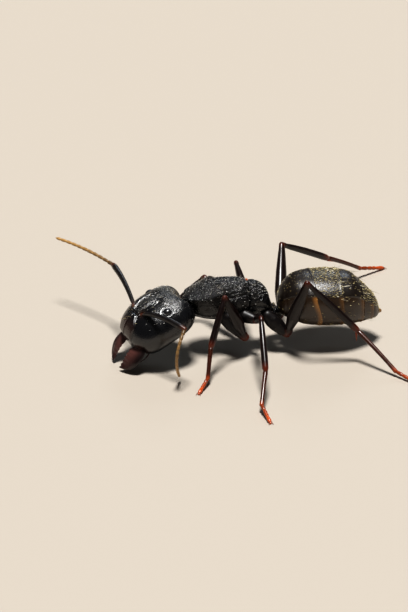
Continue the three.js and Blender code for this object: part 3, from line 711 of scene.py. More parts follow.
def between(rows, x):
    """The values between rows of (x, values...), as smooth curves through the rows."""
    rows = np.asarray(rows, float)
    steps = np.diff(rows[:, 0])
    slopes = np.diff(rows[:, 1:], axis=0) / steps[:, None]
    shared = slopes[:-1] * steps[1:, None] + slopes[1:] * steps[:-1, None]
    bends = shared / (steps[1:] + steps[:-1])[:, None]
    bends = np.concatenate([slopes[:1], bends, slopes[-1:]])
    x = np.clip(x, rows[0, 0], rows[-1, 0])
    k = np.clip(np.searchsorted(rows[:, 0], x, side="right") - 1, 0, len(steps) - 1)
    h = steps[k][..., None]
    t = ((x - rows[k, 0])[..., None]) / h
    near, far = rows[k, 1:], rows[k + 1, 1:]
    value = (2 * t**3 - 3 * t**2 + 1) * near + (3 * t**2 - 2 * t**3) * far
    return value + h * ((t**3 - 2 * t**2 + t) * bends[k] + (t**3 - t**2) * bends[k + 1])


def body_rings(rows, x, angle, pinch=0.0, shrink=0.0):
    """Points of a body section round each x, at an angle from straight out. pinch narrows it towards its
    top, and shrink draws it all inwards."""
    top, bottom, half_width = np.moveaxis(between(rows, x), -1, 0)
    sine, cosine = np.sin(angle), np.cos(angle)
    half_width = half_width * (1 - pinch * np.maximum(0, sine)) - shrink
    y = half_width * np.sign(cosine) * np.abs(cosine) ** 0.9
    z = (top + bottom) / 2 + ((top - bottom) / 2 - shrink) * sine
    return np.stack([x, y, z], -1)


def seam_x(seam, z):
    """Where a seam lies at a height, as x."""
    heights, places = np.transpose(seam)
    return np.interp(z, heights, places)


SHELF_HEIGHT = 0.13
SHELF_UNDERCUT = 0.12
LOWER_SIDE_SWELL = 0.05
UPPER_SUTURE_DEPTH = 0.045
LOWER_SUTURE_DEPTH = 0.035
SIDE_SWELL = 0.05
BULLA_HEIGHT = 0.06
BULLA_GROOVE_DEPTH = 0.035
FIRST_GROOVE_DEPTH = 0.07
SADDLE_LIP_HEIGHT = 0.03
SECOND_GROOVE_DEPTH = 0.05
SPIRACLES = [
    {"x": 1.42, "z": 2.92, "rim": 0.09, "rim_wide": 0.03, "rim_high": 0.035, "hole": 0.05, "deep": 0.06},
    {"x": 0.92, "z": 3.3, "rim": 0.07, "rim_wide": 0.025, "rim_high": 0.02, "hole": 0.04, "deep": 0.04},
]


def trunk_relief(points):
    """How far the trunk's surface stands out over its smooth form."""
    x, y, z = np.moveaxis(points, -1, 0)
    flank = rise(np.abs(y), 0.25, 0.5)
    # The shelf along the saddle's side, with the undercut below it.
    margin = 3.05 + 0.2 * (x + 2.03)
    saddle = rise(x, -0.25, -0.5)
    shelf = SHELF_HEIGHT * ridge(z - margin - 0.02, 0.17) - SHELF_UNDERCUT * rise(z, margin, margin - 0.08)
    relief = saddle * flank * shelf
    relief += saddle * flank * LOWER_SIDE_SWELL * rise(z, margin - 0.5, margin - 0.85)
    # The middle ring's side sutures and the swelling between them.
    side_plate = rise(x, -0.5, -0.3) * rise(x, 0.85, 0.7)
    relief -= UPPER_SUTURE_DEPTH * side_plate * flank * ridge(z - 3.12 - 0.12 * x, 0.045)
    relief -= LOWER_SUTURE_DEPTH * flank * ridge(z - 2.35 + 0.25 * x, 0.05) * rise(x, -0.4, 0.0)
    relief += SIDE_SWELL * flank * ridge(np.hypot((x - 0.25) / 0.45, (z - 2.75) / 0.3), 0.9)
    # The gland's bulge low on the rear ring.
    bulla = np.hypot((x - 1.25) / 0.42, (z - 2.3) / 0.2)
    bulge = BULLA_HEIGHT * flank * ridge(bulla, 0.8)
    relief += bulge - BULLA_GROOVE_DEPTH * flank * ridge(bulla - 1.25, 0.2)
    # The groove behind the saddle's raised rear lip, and the one before the rear ring.
    behind_seam = x - seam_x(PRONOTUM_SEAM, z)
    groove = FIRST_GROOVE_DEPTH * rise(z, 2.7, 3.0) * ridge(behind_seam - 0.06, 0.14)
    relief -= groove * rise(behind_seam, 0, 0.04)
    relief += SADDLE_LIP_HEIGHT * rise(z, 2.5, 2.8) * ridge(behind_seam + 0.05, 0.07)
    behind_seam = x - seam_x(PROPODEUM_SEAM, z)
    relief -= SECOND_GROOVE_DEPTH * rise(z, 2.6, 3.0) * ridge(behind_seam + 0.03, 0.12)
    # The breathing holes, each in a rim.
    for spiracle in SPIRACLES:
        off_centre = np.hypot(x - spiracle["x"], (z - spiracle["z"]) * 0.7)
        rim = spiracle["rim_high"] * ridge(off_centre - spiracle["rim"], spiracle["rim_wide"])
        relief += flank * (rim - spiracle["deep"] * ridge(off_centre, spiracle["hole"]))
    return relief


def plate(rows, front_at, rear_at, angle, steps, pinch_at, relief_at, tuck):
    """Rings of a plate from its front edge, tucked under the plate before it, to its rolled rear edge.
    tuck says how far its front is tucked and its rear rolled, as shares of the full way."""
    x = front_at + (rear_at - front_at) * np.linspace(0, 1, steps)[:, None]
    shrink = LIP * TUCK_DEPTH * rise(x, front_at + LIP, front_at) * tuck[0]
    shrink = shrink - LIP * EDGE_ROLL * ridge(x - rear_at + LIP, LIP) * tuck[1]
    shrink = shrink + LIP * EDGE_ROLL * rise(x, rear_at - 0.5 * LIP, rear_at) * tuck[1]
    angle = np.broadcast_to(angle, x.shape)
    rings = body_rings(rows, x, angle, pinch_at(x), shrink)
    middle = rings.mean(axis=(0, 1))
    rings = rings + relief_at(rings)[..., None] * outward(rings, middle)
    under = []
    for depth in UNDER_ROWS:
        back_off = (x[-1] - depth * LIP * UNDER_FORWARDS * tuck[1])[None]
        inwards = depth * LIP * UNDER_INWARDS
        under.append(body_rings(rows, back_off, angle[-1:], pinch_at(back_off), inwards)[0])
    return np.concatenate([rings, np.array(under)])


def seam_at(seam, x_guess, rows, angle):
    """Where a seam crosses each angle round the body, as x."""
    x = np.full_like(angle, x_guess)
    for _ in range(4):
        x = seam_x(seam, body_rings(rows, x, angle)[..., 2])
    return x


def trunk_pinch(x):
    """How much the trunk narrows towards its top, which the rear ring does most."""
    return 0.3 * rise(x, 0.3, 1.3)


trunk_angle = circle(TRUNK_SIDES)
first_seam = seam_at(PRONOTUM_SEAM, -0.5, TRUNK, trunk_angle)
second_seam = seam_at(PROPODEUM_SEAM, 0.8, TRUNK, trunk_angle)
neck = np.full_like(trunk_angle, TRUNK[0][0])
waist = np.full_like(trunk_angle, TRUNK[-1][0])
trunk_plates = {
    "pronotum": {"front": neck, "rear": first_seam + 0.03, "steps": 130, "tuck": (0, 1)},
    "mesothorax": {"front": first_seam - 0.02, "rear": second_seam - 0.02, "steps": 110, "tuck": (1.2, 0)},
    "propodeum": {"front": second_seam + 0.01, "rear": waist, "steps": 110, "tuck": (0.8, 0)},
}
RED_EDGE = 0.35
RED_EDGE_ROWS = 7
trunk_cuticle = cuticle(
    "trunk_cuticle", colour=(0.007, 0.007, 0.008), tinted=(0.09, 0.045, 0.02), roughness=0.15,
    grain=10, grain_depth=0.04, streaks=(2, 2, 10), streak_depth=0.03, ior=1.7)
trunk_meshes = {}
for name, made in trunk_plates.items():
    tuck = made["tuck"]
    rings = plate(
        TRUNK, made["front"], made["rear"], trunk_angle, made["steps"], trunk_pinch, trunk_relief, tuck)
    cover = 0.12 + 0.88 * rise(rings[..., 2], 2.7, 3.15)
    cover[-len(UNDER_ROWS):] = 0
    tint = np.zeros(rings.shape[:2])
    tint[-RED_EDGE_ROWS:] = RED_EDGE * tuck[1]
    bristles = rise(rings[..., 2], 3.0, 3.5) * cover
    mesh = skin_mesh(f"{name}_plate", [rings], tint=[tint], down=[cover], bristles=[bristles])
    fitted(mesh, trunk_cuticle, "shell", name)
    trunk_meshes[name] = mesh

# ---- Waist ----
# One upright scale on a short stalk, of glossy black cuticle, thin at its rounded top edge.

WAIST_X, WAIST_Z = 2.13, 1.76
SCALE_HALF_HEIGHT = 0.58
SCALE_HALF_WIDTH = 0.44
SCALE_HALF_THICKNESS = 0.2
SCALE_ROWS = 60
SCALE_SIDES = 72
STALK_ROUTE = [(1.8, 0, 2.05), (2.1, 0, 1.9), (2.7, 0, 2.1)]
STALK_RADIUS = 0.2
STALK_SWELL = 0.06
STALK_STEPS = 40

lift = np.linspace(-0.985, 0.985, SCALE_ROWS)[:, None]
round_about = circle(SCALE_SIDES)[None]
scale_girth = np.sqrt(1 - lift**2)
scale_thin = 1 - 0.45 * np.maximum(0, lift)
scale_x = WAIST_X + SCALE_HALF_THICKNESS * scale_thin * scale_girth**0.7 * np.cos(round_about)
scale_x = scale_x + 0.05 * lift**2
scale_y = SCALE_HALF_WIDTH * scale_girth**0.7 * np.sin(round_about)
notch = np.maximum(0, lift) ** 3 * (1 - np.abs(np.sin(round_about)))
scale_z = WAIST_Z + SCALE_HALF_HEIGHT * lift - 0.06 * notch
waist_scale = np.stack([scale_x, scale_y, scale_z], -1)
stalk_radii = []
for step in range(STALK_STEPS):
    stalk_radii.append(STALK_RADIUS + STALK_SWELL * math.cos(step / (STALK_STEPS - 1) * 2 * math.pi))
stalk = tube(bezier(STALK_ROUTE, STALK_STEPS), stalk_radii, 48)
waist_mesh = skin_mesh(
    "waist_scale", [waist_scale, stalk], tint=[0.25 * rise(lift, 0.7, 1), 0],
    down=[rise(lift, -0.2, 0.5), 0], bristles=[rise(lift, 0.5, 0.8), 0])
fitted(waist_mesh, trunk_cuticle, "shell", "petiole")

# ---- Gaster ----
# Five overlapping rings of thin cuticle, each of a back plate that folds over a belly plate. Their
# free rear edges are thin enough to show amber, and carry a fringe of gold hair.

# Each row holds x, then the gaster's top, bottom and half width there.
GASTER = [
    (2.33, 2.7, 2.1, 0.2),
    (2.42, 2.98, 1.88, 0.55),
    (2.65, 3.36, 1.7, 0.86),
    (2.97, 3.67, 1.54, 1.12),
    (3.47, 3.84, 1.32, 1.4),
    (4.2, 3.87, 1.2, 1.57),
    (5.4, 3.76, 1.14, 1.56),
    (6.03, 3.58, 1.15, 1.37),
    (6.43, 3.2, 1.17, 1.12),
    (6.92, 2.66, 1.25, 0.78),
    (7.15, 2.36, 1.28, 0.58),
    (7.27, 2.08, 1.33, 0.38),
    (7.35, 1.78, 1.42, 0.18),
    (7.5, 1.6, 1.48, 0.06),
]
PLATE_EDGES = [2.33, 4.0, 5.3, 6.42, 6.98, 7.5]
PLATE_UNDERLAP = 0.05  # how far a plate starts under the one before it
PLATE_OVERLAP = 0.03  # how far a plate ends over the next one
FOLD_ANGLE = math.radians(28)  # the back plates' lower edge, above the widest line
FOLD_BLEND = 0.035
FOLD_STEP = 0.045
FOLD_LIP = 0.05
BELLY_DEPTH = 0.8
GASTER_SIDES = 280
GASTER_STEPS = [110, 120, 90, 60, 50]
BACK_DOWN = [0.25, 1, 0.2, 0.85, 0.85]
BELLY_DOWN = 0.12
BELLY_SETBACK = [0.3, 0.1, 0, 0, 0]  # how much further back each belly plate reaches
AMBER_EDGES = [0.75, 0.25, 0.25, 0.25, 0.25]
BELLY_AMBER = 0.06

gaster_angle = circle(GASTER_SIDES)
fold_height = math.sin(FOLD_ANGLE)
below_fold = rise(np.sin(gaster_angle), fold_height + FOLD_BLEND, fold_height - FOLD_BLEND)[None]


def gaster_relief(points):
    """The step where the back plates fold over the belly plates."""
    half_depth = np.clip((points[..., 2].max(1) - points[..., 2].min(1)) / 2, 0.1, None)[:, None]
    step = FOLD_STEP * np.minimum(1, half_depth)
    edge = np.sin(gaster_angle)[None] - fold_height
    return step * (FOLD_LIP * ridge(edge - 0.05, 0.05) - BELLY_DEPTH * below_fold)


def unpinched(x):
    """No narrowing towards the top."""
    return 0


gaster_cuticle = cuticle(
    "gaster_cuticle", colour=(0.008, 0.006, 0.005), tinted=(0.34, 0.16, 0.04), roughness=0.35,
    grain=12, grain_depth=0.006, streaks=(26, 3, 3), streak_depth=0.006, ior=1.75)
gaster_meshes = []
for number, steps in enumerate(GASTER_STEPS):
    first, last = number == 0, number == len(GASTER_STEPS) - 1
    front_at = np.full_like(gaster_angle, PLATE_EDGES[number] - (0 if first else PLATE_UNDERLAP))
    rear_at = np.full_like(gaster_angle, PLATE_EDGES[number + 1] + (0 if last else PLATE_OVERLAP))
    rear_at += BELLY_SETBACK[number] * rise(np.sin(gaster_angle), 0.5, -0.6)
    tuck = (0 if first else 0.9, 0 if last else 1)
    rings = plate(GASTER, front_at, rear_at, gaster_angle, steps, unpinched, gaster_relief, tuck)
    x = rings[..., 0]
    rear_margin = rise(x, rear_at - 0.16, rear_at - 0.05) * tuck[1]
    clear_edge = rise(x, rear_at - 0.32, rear_at - 0.06) * tuck[1]
    amber = (clear_edge * AMBER_EDGES[number] + BELLY_AMBER) * below_fold + 0.02
    if last:
        amber = amber + 0.7 * rise(x, 7.3, 7.4)
    cover = BACK_DOWN[number] * (1 - below_fold) + BELLY_DOWN * below_fold
    cover = np.maximum(cover, 0.7 * rear_margin * (1 - below_fold))
    cover[-len(UNDER_ROWS):] = 0
    bristles = (0.15 + 0.85 * rear_margin) * (0.4 + 0.6 * rise(x, 5, 6))
    bristles[-len(UNDER_ROWS):] = 0
    mesh = skin_mesh(f"gaster_plate_{number + 1}", [rings], tint=[amber], down=[cover], bristles=[bristles])
    fitted(mesh, gaster_cuticle, "gaster_shell", f"gaster_{number + 1}")
    gaster_meshes.append(mesh)

# ---- Legs ----
# Six legs of glossy cuticle: hip, thigh, shin and a foot of five joints with two claws. The
# shin ends in a spur, which on the fore leg is a curved comb, and the joints show dark red.

# Lengths of the hip, thigh, shin, first foot joint and the rest of the foot.
LEG_LENGTHS = {
    "fore": [1.78, 2.95, 2.45, 1.5, 1.2],
    "mid": [0.89, 2.65, 2.7, 1.85, 1.3],
    "hind": [1.36, 3.86, 3.68, 2.71, 1.55],
}
HIPS = {"fore": (-0.5, 0.35, 2.35), "mid": (0.45, 0.45, 2.1), "hind": (1.75, 0.45, 1.95)}
# Degrees that each of the five lengths is turned forward from straight out, and that the first four
# rise above level. The rest of the foot runs down to the sole's height.
STANCE = {
    "left_fore": {"bearings": [-63, 54, 40, 19, 29], "climbs": [-46, 61, -58, -54]},
    "left_mid": {"bearings": [-51, 5.5, 4, 17, -7], "climbs": [-6, 27.3, -41, -34]},
    "left_hind": {"bearings": [-74, -20, -90, -41, -32], "climbs": [-44, 62, -47, -32]},
    "right_fore": {"bearings": [-63, 31, 68, 13, 11], "climbs": [-49, 32, -48, -21]},
    "right_mid": {"bearings": [-49, 4.8, -21, 8, -45], "climbs": [-15, 27.4, -52, -23]},
    "right_hind": {"bearings": [-57, -12, -56, -56, -63], "climbs": [-35, 39, -28, -29]},
}
SOLE_HEIGHT = 0.2
TOE_HEIGHT = 0.094
COXA_SHARES = [0, 0.25, 0.5, 0.8, 1]
COXA_RADII = {
    "fore": [0.3, 0.42, 0.42, 0.3, 0.2],
    "mid": [0.3, 0.34, 0.31, 0.25, 0.19],
    "hind": [0.3, 0.37, 0.36, 0.28, 0.19],
}
FEMUR_GIRTH = {"fore": 1.3, "mid": 1.08, "hind": 1.42}
FEMUR_SHARES = [0, 0.03, 0.075, 0.11, 0.15, 0.32, 0.6, 0.85, 0.94, 1]
FEMUR_RADII = [0.12, 0.155, 0.155, 0.115, 0.15, 0.225, 0.2, 0.145, 0.12, 0.115]
TIBIA_SHARES = [0, 0.04, 0.09, 0.2, 0.5, 0.85, 0.96, 1]
TIBIA_RADII = [0.13, 0.145, 0.12, 0.145, 0.172, 0.175, 0.165, 0.125]
BASITARSUS_SHARES = [0, 0.06, 0.3, 0.8, 1]
BASITARSUS_RADII = [0.1, 0.12, 0.105, 0.095, 0.105]
TOE_LENGTH_SHARES = [0.3, 0.2, 0.15, 0.35]
TOE_SHARES = [0, 0.25, 0.85, 1]
TOE_RADII = [0.06, 0.08, 0.098, 0.075]
TOE_TINTS = [0.45, 0.65, 0.8, 1]
LIMB_STEPS = 60
TOE_STEPS = 16
SPUR_LENGTH = 0.56
SPUR_THICKNESS = 0.07
COMB_LENGTH = 0.5
COMB_THICKNESS = 0.05
COMB_BOW = 0.14
CLAW_LENGTH = 0.2
CLAW_THICKNESS = 0.03
CLAW_ARCH = 0.06
CLAW_BASE_OUT = 0.035
CLAW_TIP_OUT = 0.11
CLAW_TIP_HEIGHT = 0.012
PAD_RADIUS = 0.045
PAD_LENGTH = 0.1
PAD_DROP = 0.046


def bearing_to(side, bearing, climb):
    """The direction that is turned forward from straight out by a bearing, and raised by a climb."""
    flat = math.cos(climb)
    return np.array([-math.sin(bearing) * flat, side * math.cos(bearing) * flat, math.sin(climb)])


def leg_joints(pair, side, stance):
    """The ends of a leg's segments, from the hip to the toe."""
    x, out, z = HIPS[pair]
    joints = [np.array([x, side * out, z])]
    climbs = [math.radians(climb) for climb in stance["climbs"]]
    for number, length in enumerate(LEG_LENGTHS[pair]):
        if number == len(climbs):
            climbs.append(math.asin((SOLE_HEIGHT - joints[number][2]) / length))
        heading = bearing_to(side, math.radians(stance["bearings"][number]), climbs[number])
        joints.append(joints[number] + length * heading)
    return joints


def straight(start, end, steps, sag=0.0):
    """Even steps along a line that bows up a little."""
    share = np.linspace(0, 1, steps)[:, None]
    return start + (end - start) * share + np.array([0, 0, 1]) * sag * np.sin(np.pi * share)


def sole_clear(rings):
    """A full share of down, but none close to the floor."""
    return rise(rings[..., 2], 0.1, 0.22)


def spine(base, tip, thickness, bow=(0, 0, 0)):
    """A tapering curved spine."""
    path = bezier([base, (np.asarray(base) + tip) / 2 + bow, tip], 14)
    return tube(path, thickness * np.linspace(1, 0.12, 14) ** 0.8, 10)


BLACK_LIMB = (0.007, 0.005, 0.005)
RED_LIMB = (0.3, 0.055, 0.018)
limb_cuticle = cuticle("limb_cuticle", BLACK_LIMB, RED_LIMB, 0.3, grain=12, grain_depth=0.003, ior=1.55)
hip_cuticle = cuticle("hip_cuticle", BLACK_LIMB, RED_LIMB, 0.42, grain=12, grain_depth=0.012, ior=1.5)
foot_cuticle = cuticle(
    "foot_cuticle", colour=(0.018, 0.007, 0.005), tinted=(0.52, 0.095, 0.018), roughness=0.28,
    grain=12, grain_depth=0.002)
LIMB_FINISHES = {"coxa": hip_cuticle, "femur": limb_cuticle, "tibia": limb_cuticle, "tarsus": foot_cuticle}
leg_meshes = {}
for leg_name, stance in STANCE.items():
    side_name, pair = leg_name.split("_")
    side = -1 if side_name == "left" else 1
    hip, trochanter, knee, ankle, sole, toe = leg_joints(pair, side, stance)
    toe = toe + np.array([0.03, 0.16, TOE_HEIGHT - SOLE_HEIGHT])
    plane = unit(np.cross(knee - trochanter, ankle - knee))
    upright = unit(np.cross(knee - trochanter, plane))
    run = np.linspace(0, 1, LIMB_STEPS)

    # Hip, thigh and shin, with red at their joints.
    coxa_radii = np.interp(run, COXA_SHARES, COXA_RADII[pair])
    coxa = tube(straight(hip, trochanter, LIMB_STEPS), coxa_radii, 40, 0.92)
    coxa_tint = 0.4 * ridge(run - 1, 0.08)
    femur_radii = np.interp(run, FEMUR_SHARES, FEMUR_RADII) * FEMUR_GIRTH[pair]
    femur = tube(straight(trochanter, knee, LIMB_STEPS, 0.05), femur_radii, 36, 0.86, upright)
    femur_tint = np.maximum(0.35 * ridge(run, 0.07), 0.2 * ridge(run - 1, 0.04)) + 0.02
    tibia_radii = np.interp(run, TIBIA_SHARES, TIBIA_RADII)
    tibia = tube(straight(knee, ankle, LIMB_STEPS, 0.03), tibia_radii, 32, 0.9, upright)
    tibia_tint = np.maximum(0.15 * ridge(run, 0.05), 0.4 * rise(run, 0.82, 1)) + 0.02

    # The spur at the shin's end. The left ones hang, and the right ones lie along the shin.
    down = unit(ankle - knee)
    inner = unit(np.cross(plane, down)) * np.sign(np.cross(plane, down)[2] or 1) * -1
    spur_root = ankle + inner * 0.1
    if pair == "fore":
        comb_tip = ankle + down * COMB_LENGTH + inner * COMB_BOW
        spur = spine(spur_root, comb_tip, COMB_THICKNESS, inner * COMB_BOW)
    else:
        hangs = np.array([0, 0, -1]) if side < 0 else down
        spur = spine(spur_root, ankle + unit(hangs + inner * 0.15) * SPUR_LENGTH, SPUR_THICKNESS)

    # The foot's five joints, its two claws and the pad between them.
    basal_radii = np.interp(run, BASITARSUS_SHARES, BASITARSUS_RADII)
    basal = tube(straight(ankle + down * 0.02, sole, LIMB_STEPS, 0.04), basal_radii, 20)
    basal_tint = 0.08 + 0.5 * ridge(run - 1, 0.08)
    toe_radii = np.interp(np.linspace(0, 1, TOE_STEPS), TOE_SHARES, TOE_RADII)
    toes = []
    start = sole
    for size in TOE_LENGTH_SHARES:
        end = start + (toe - sole) * size
        toes.append(tube(straight(start, end, TOE_STEPS), toe_radii, 16))
        start = end
    ahead = unit((toe - sole) * (1, 1, 0))
    sideways = np.cross(ahead, (0, 0, 1))
    claws = []
    for hand in (-1, 1):
        base = toe + hand * sideways * CLAW_BASE_OUT
        tip = toe + ahead * CLAW_LENGTH + hand * sideways * CLAW_TIP_OUT
        tip[2] = CLAW_TIP_HEIGHT
        claws.append(spine(base, tip, CLAW_THICKNESS, (0, 0, CLAW_ARCH)))
    pad_end = toe + ahead * PAD_LENGTH - (0, 0, PAD_DROP)
    pad = tube(straight(toe + ahead * 0.02, pad_end, 8), PAD_RADIUS, 14)

    parts = {
        "coxa": {"stacks": [coxa], "tints": [domed(coxa_tint)], "downs": [0.5]},
        "femur": {"stacks": [femur], "tints": [domed(femur_tint)], "downs": [0.6]},
        "tibia": {"stacks": [tibia, spur], "tints": [domed(tibia_tint), 1], "downs": [0.9, 0]},
        "tarsus": {
            "stacks": [basal, *toes, *claws, pad],
            "tints": [domed(basal_tint), *TOE_TINTS, 0.4, 0.4, 0.9],
            "downs": [sole_clear(basal), *[sole_clear(stack) for stack in toes], 0, 0, 0],
        },
    }
    for part, made in parts.items():
        mesh = skin_mesh(f"{leg_name}_{part}_skin", made["stacks"], tint=made["tints"])
        slot = "foot" if part == "tarsus" else "limb_shell"
        fitted(mesh, LIMB_FINISHES[part], slot, f"{leg_name}_{part}")
    all_stacks = sum((made["stacks"] for made in parts.values()), [])
    all_downs = sum((made["downs"] for made in parts.values()), [])
    leg_meshes[leg_name] = skin_mesh(f"{leg_name}_whole", all_stacks, down=all_downs)

# ---- Hair ----
# A short down of bent tapering hairs lies back along the shell, thickest on the gaster, and longer
# gold or pale bristles stand on the back and fringe the gaster's plates. Each is rooted in the shell.

HAIR_PATCH = 0.003  # how wide a hair's patch is on the skin's unwrap
HAIR_SIDES = 3
HAIR_SEGMENTS = 3
ROOT_DEPTH = 0.05  # how deep a hair's root is, as a share of its length
HAIR_IOR = 1.55
SEEDS = (11, 23)


def hair_tree():
    """Nodes that grow bent, tapering hairs on a shell, along its lie and where a painted share allows."""
    sizes = ["Density", "Spacing", "Length", "Length Spread", "Slenderness", "Lean", "Wander", "Bend"]
    inputs = {**dict.fromkeys(sizes, "Float"), "Seed": "Int", "Share": "String", "Material": "Material"}
    tree, given, node = mesh_tree("hair_growth", inputs)

    def maths(operation, *values, kind="ShaderNodeMath"):
        """The result of one sum on numbers."""
        return node(kind, {"operation": operation}, **{f"i{i}": value for i, value in enumerate(values)})[0]

    def vectors(operation, *values):
        """The result of one sum on vectors."""
        return maths(operation, *values, kind="ShaderNodeVectorMath")

    def named(name, data_type):
        """A painted attribute."""
        return node("GeometryNodeInputNamedAttribute", {"data_type": data_type}, Name=name)[0]

    def random(data_type, least, most, seed):
        """A random value for every hair."""
        return node("FunctionNodeRandomValue", {"data_type": data_type}, Min=least, Max=most, Seed=seed)[0]

    def stored(geometry, name, value, data_type="FLOAT2", domain="CORNER"):
        """The geometry, with a value stored on it under a name."""
        kinds = {"data_type": data_type, "domain": domain}
        return node("GeometryNodeStoreNamedAttribute", kinds, Geometry=geometry, Name=name, Value=value)[0]

    # Roots, more of them where the share is higher.
    roots, normal, _ = node(
        "GeometryNodeDistributePointsOnFaces", {"distribute_method": "POISSON"}, Mesh=given["Geometry"],
        Distance_Min=given["Spacing"], Density_Max=given["Density"],
        Density_Factor=named(given["Share"], "FLOAT"), Seed=given["Seed"])
    # A heading between the shell's normal and its lie, a little astray.
    lie = named("lie", "FLOAT_VECTOR")
    standing = vectors("SCALE", normal, vectors("DOT_PRODUCT", lie, normal))
    flat = vectors("NORMALIZE", vectors("SUBTRACT", lie, standing))
    up_share = vectors("SCALE", normal, maths("COSINE", given["Lean"]))
    flat_share = vectors("SCALE", flat, maths("SINE", given["Lean"]))
    astray = random("FLOAT_VECTOR", (-1, -1, -1), (1, 1, 1), given["Seed"])
    astray = vectors("SCALE", astray, given["Wander"])
    heading = vectors("NORMALIZE", vectors("ADD", vectors("ADD", up_share, flat_share), astray))
    turned = node(
        "FunctionNodeAxesToRotation", {"primary_axis": "Z", "secondary_axis": "X"},
        Primary_Axis=heading, Secondary_Axis=flat)[0]
    # Lengths that spread round the one given.
    shortest = maths("SUBTRACT", 1.0, given["Length Spread"])
    longest = maths("ADD", 1.0, given["Length Spread"])
    size = random("FLOAT", shortest, longest, maths("ADD", given["Seed"], 1.0))
    size = maths("MULTIPLY", size, given["Length"])
    # One hair: a thin cone, bent along the lie, with its root sunk in the shell.
    cone = node(
        "GeometryNodeMeshCone", {"fill_type": "NGON"}, Vertices=HAIR_SIDES, Side_Segments=HAIR_SEGMENTS,
        Fill_Segments=1, Radius_Top=0.0, Radius_Bottom=given["Slenderness"], Depth=1.0)
    hair = stored(cone[0], "patch", cone[-1])
    height = node("ShaderNodeSeparateXYZ", i0=node("GeometryNodeInputPosition")[0])[2]
    droop = maths("MULTIPLY", maths("MULTIPLY", height, height), given["Bend"])
    bent = node("ShaderNodeCombineXYZ", X=droop, Z=-ROOT_DEPTH)[0]
    hair = node("GeometryNodeSetPosition", Geometry=hair, Offset=bent)[0]
    coat = node("GeometryNodeInstanceOnPoints", Points=roots, Instance=hair, Rotation=turned, Scale=size)[0]
    shade = random("FLOAT", 0.0, 1.0, maths("ADD", given["Seed"], 2.0))
    coat = stored(coat, "shade", shade, "FLOAT", "INSTANCE")
    coat = node("GeometryNodeRealizeInstances", Geometry=coat)[0]
    # Each hair's patch at its root's place on the skin's unwrap.
    corner = vectors("SUBTRACT", named("patch", "FLOAT_VECTOR"), (0.5, 0.5, 0.0))
    corner = vectors("SCALE", corner, HAIR_PATCH)
    coat = stored(coat, "OFBake", vectors("ADD", named("Unwrap", "FLOAT_VECTOR"), corner))
    coat = node("GeometryNodeSetMaterial", Geometry=coat, Material=given["Material"])[0]
    node("NodeGroupOutput", Geometry=coat)
    return tree


def hair_finish(name, dark, light, roughness):
    """Glossy hair, each of its own shade between two colours."""
    material, shader = plain_finish(name)
    node = wiring(material.node_tree)
    shade = node("ShaderNodeAttribute", {"attribute_name": "shade"})[FAC]
    blend = node("ShaderNodeMix", {"data_type": "RGBA"}, Factor=shade, A=(*dark, 1), B=(*light, 1))[0]
    material.node_tree.links.new(blend, shader.inputs["Base Color"])
    shader.inputs["Roughness"].default_value = roughness
    shader.inputs["IOR"].default_value = HAIR_IOR
    return material


hair_nodes = hair_tree()
gold_hair = hair_finish("gold_hair", (0.28, 0.2, 0.08), (0.95, 0.84, 0.5), 0.25)
silver_hair = hair_finish("silver_hair", (0.25, 0.24, 0.21), (0.97, 0.95, 0.9), 0.25)
pale_hair = hair_finish("pale_hair", (0.5, 0.45, 0.32), (0.85, 0.8, 0.66), 0.3)
brown_hair = hair_finish("brown_hair", (0.03, 0.02, 0.015), (0.2, 0.13, 0.08), 0.4)


def coat(name, skin, growths):
    """One piece of hair over a skin, from one or more growths of (material, sizes)."""
    pieces = []
    for number, (finish, sizes) in enumerate(growths):
        mesh = grown(skin.copy(), hair_nodes, material=finish, seed=SEEDS[number], **sizes)
        for spare in ("Unwrap", "lie", "patch", "down", "bristles", "tint"):
            if spare in mesh.attributes:
                mesh.attributes.remove(mesh.attributes[spare])
        mesh.name = name
        pieces.append(added(name, mesh))
    first = pieces[0]
    if len(pieces) > 1:
        with bpy.context.temp_override(active_object=first, selected_editable_objects=pieces):
            bpy.ops.object.join()
    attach(first, "root")


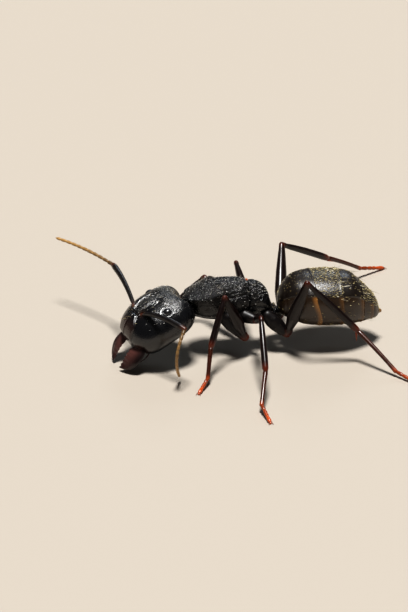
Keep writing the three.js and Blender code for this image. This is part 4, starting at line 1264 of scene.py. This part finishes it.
def growth(share, per_mm2, spacing, length, thickness, lean, wander, bend):
    """The sizes of a growth of hair, from hairs to the square millimetre, millimetres and degrees."""
    return {
        "share": share,
        "density": per_mm2 / MM**2,
        "spacing": spacing * MM,
        "length": length * MM,
        "length_spread": 0.3,
        "slenderness": thickness / 2 / length,
        "lean": math.radians(lean),
        "wander": wander,
        "bend": bend,
    }


head_down = growth(
    "down", per_mm2=190, spacing=0.05, length=0.07, thickness=0.025, lean=55, wander=0.4, bend=0.2)
head_bristles = growth(
    "bristles", per_mm2=9, spacing=0.2, length=0.2, thickness=0.015, lean=25, wander=0.3, bend=0.1)
coat("head_hair", head_mesh, [(silver_hair, head_down), (gold_hair, head_bristles)])

trunk_down = growth(
    "down", per_mm2=55, spacing=0.09, length=0.075, thickness=0.026, lean=58, wander=0.4, bend=0.2)
trunk_bristles = growth(
    "bristles", per_mm2=8, spacing=0.2, length=0.22, thickness=0.016, lean=28, wander=0.3, bend=0.12)
for name, mesh in trunk_meshes.items():
    coat(f"{name}_hair", mesh, [(silver_hair, trunk_down), (pale_hair, trunk_bristles)])

waist_down = growth(
    "down", per_mm2=60, spacing=0.1, length=0.1, thickness=0.011, lean=60, wander=0.3, bend=0.2)
waist_bristles = growth(
    "bristles", per_mm2=20, spacing=0.12, length=0.22, thickness=0.018, lean=20, wander=0.3, bend=0.1)
coat("waist_hair", waist_mesh, [(silver_hair, waist_down), (gold_hair, waist_bristles)])

gaster_down = growth(
    "down", per_mm2=190, spacing=0.05, length=0.1, thickness=0.026, lean=70, wander=0.4, bend=0.14)
gaster_bristles = growth(
    "bristles", per_mm2=16, spacing=0.14, length=0.42, thickness=0.024, lean=55, wander=0.2, bend=0.15)
for number, mesh in enumerate(gaster_meshes):
    coat(f"gaster_hair_{number + 1}", mesh, [(gold_hair, gaster_down), (pale_hair, gaster_bristles)])

feeler_down = growth(
    "down", per_mm2=380, spacing=0.035, length=0.05, thickness=0.008, lean=62, wander=0.3, bend=0.1)
for name, mesh in feeler_meshes.items():
    coat(f"feeler_{name}_hair", mesh, [(brown_hair, feeler_down)])

leg_down = growth(
    "down", per_mm2=70, spacing=0.08, length=0.09, thickness=0.009, lean=70, wander=0.25, bend=0.1)
for name, mesh in leg_meshes.items():
    coat(f"{name}_hair", mesh, [(brown_hair, leg_down)])

bpy.context.view_layer.update()
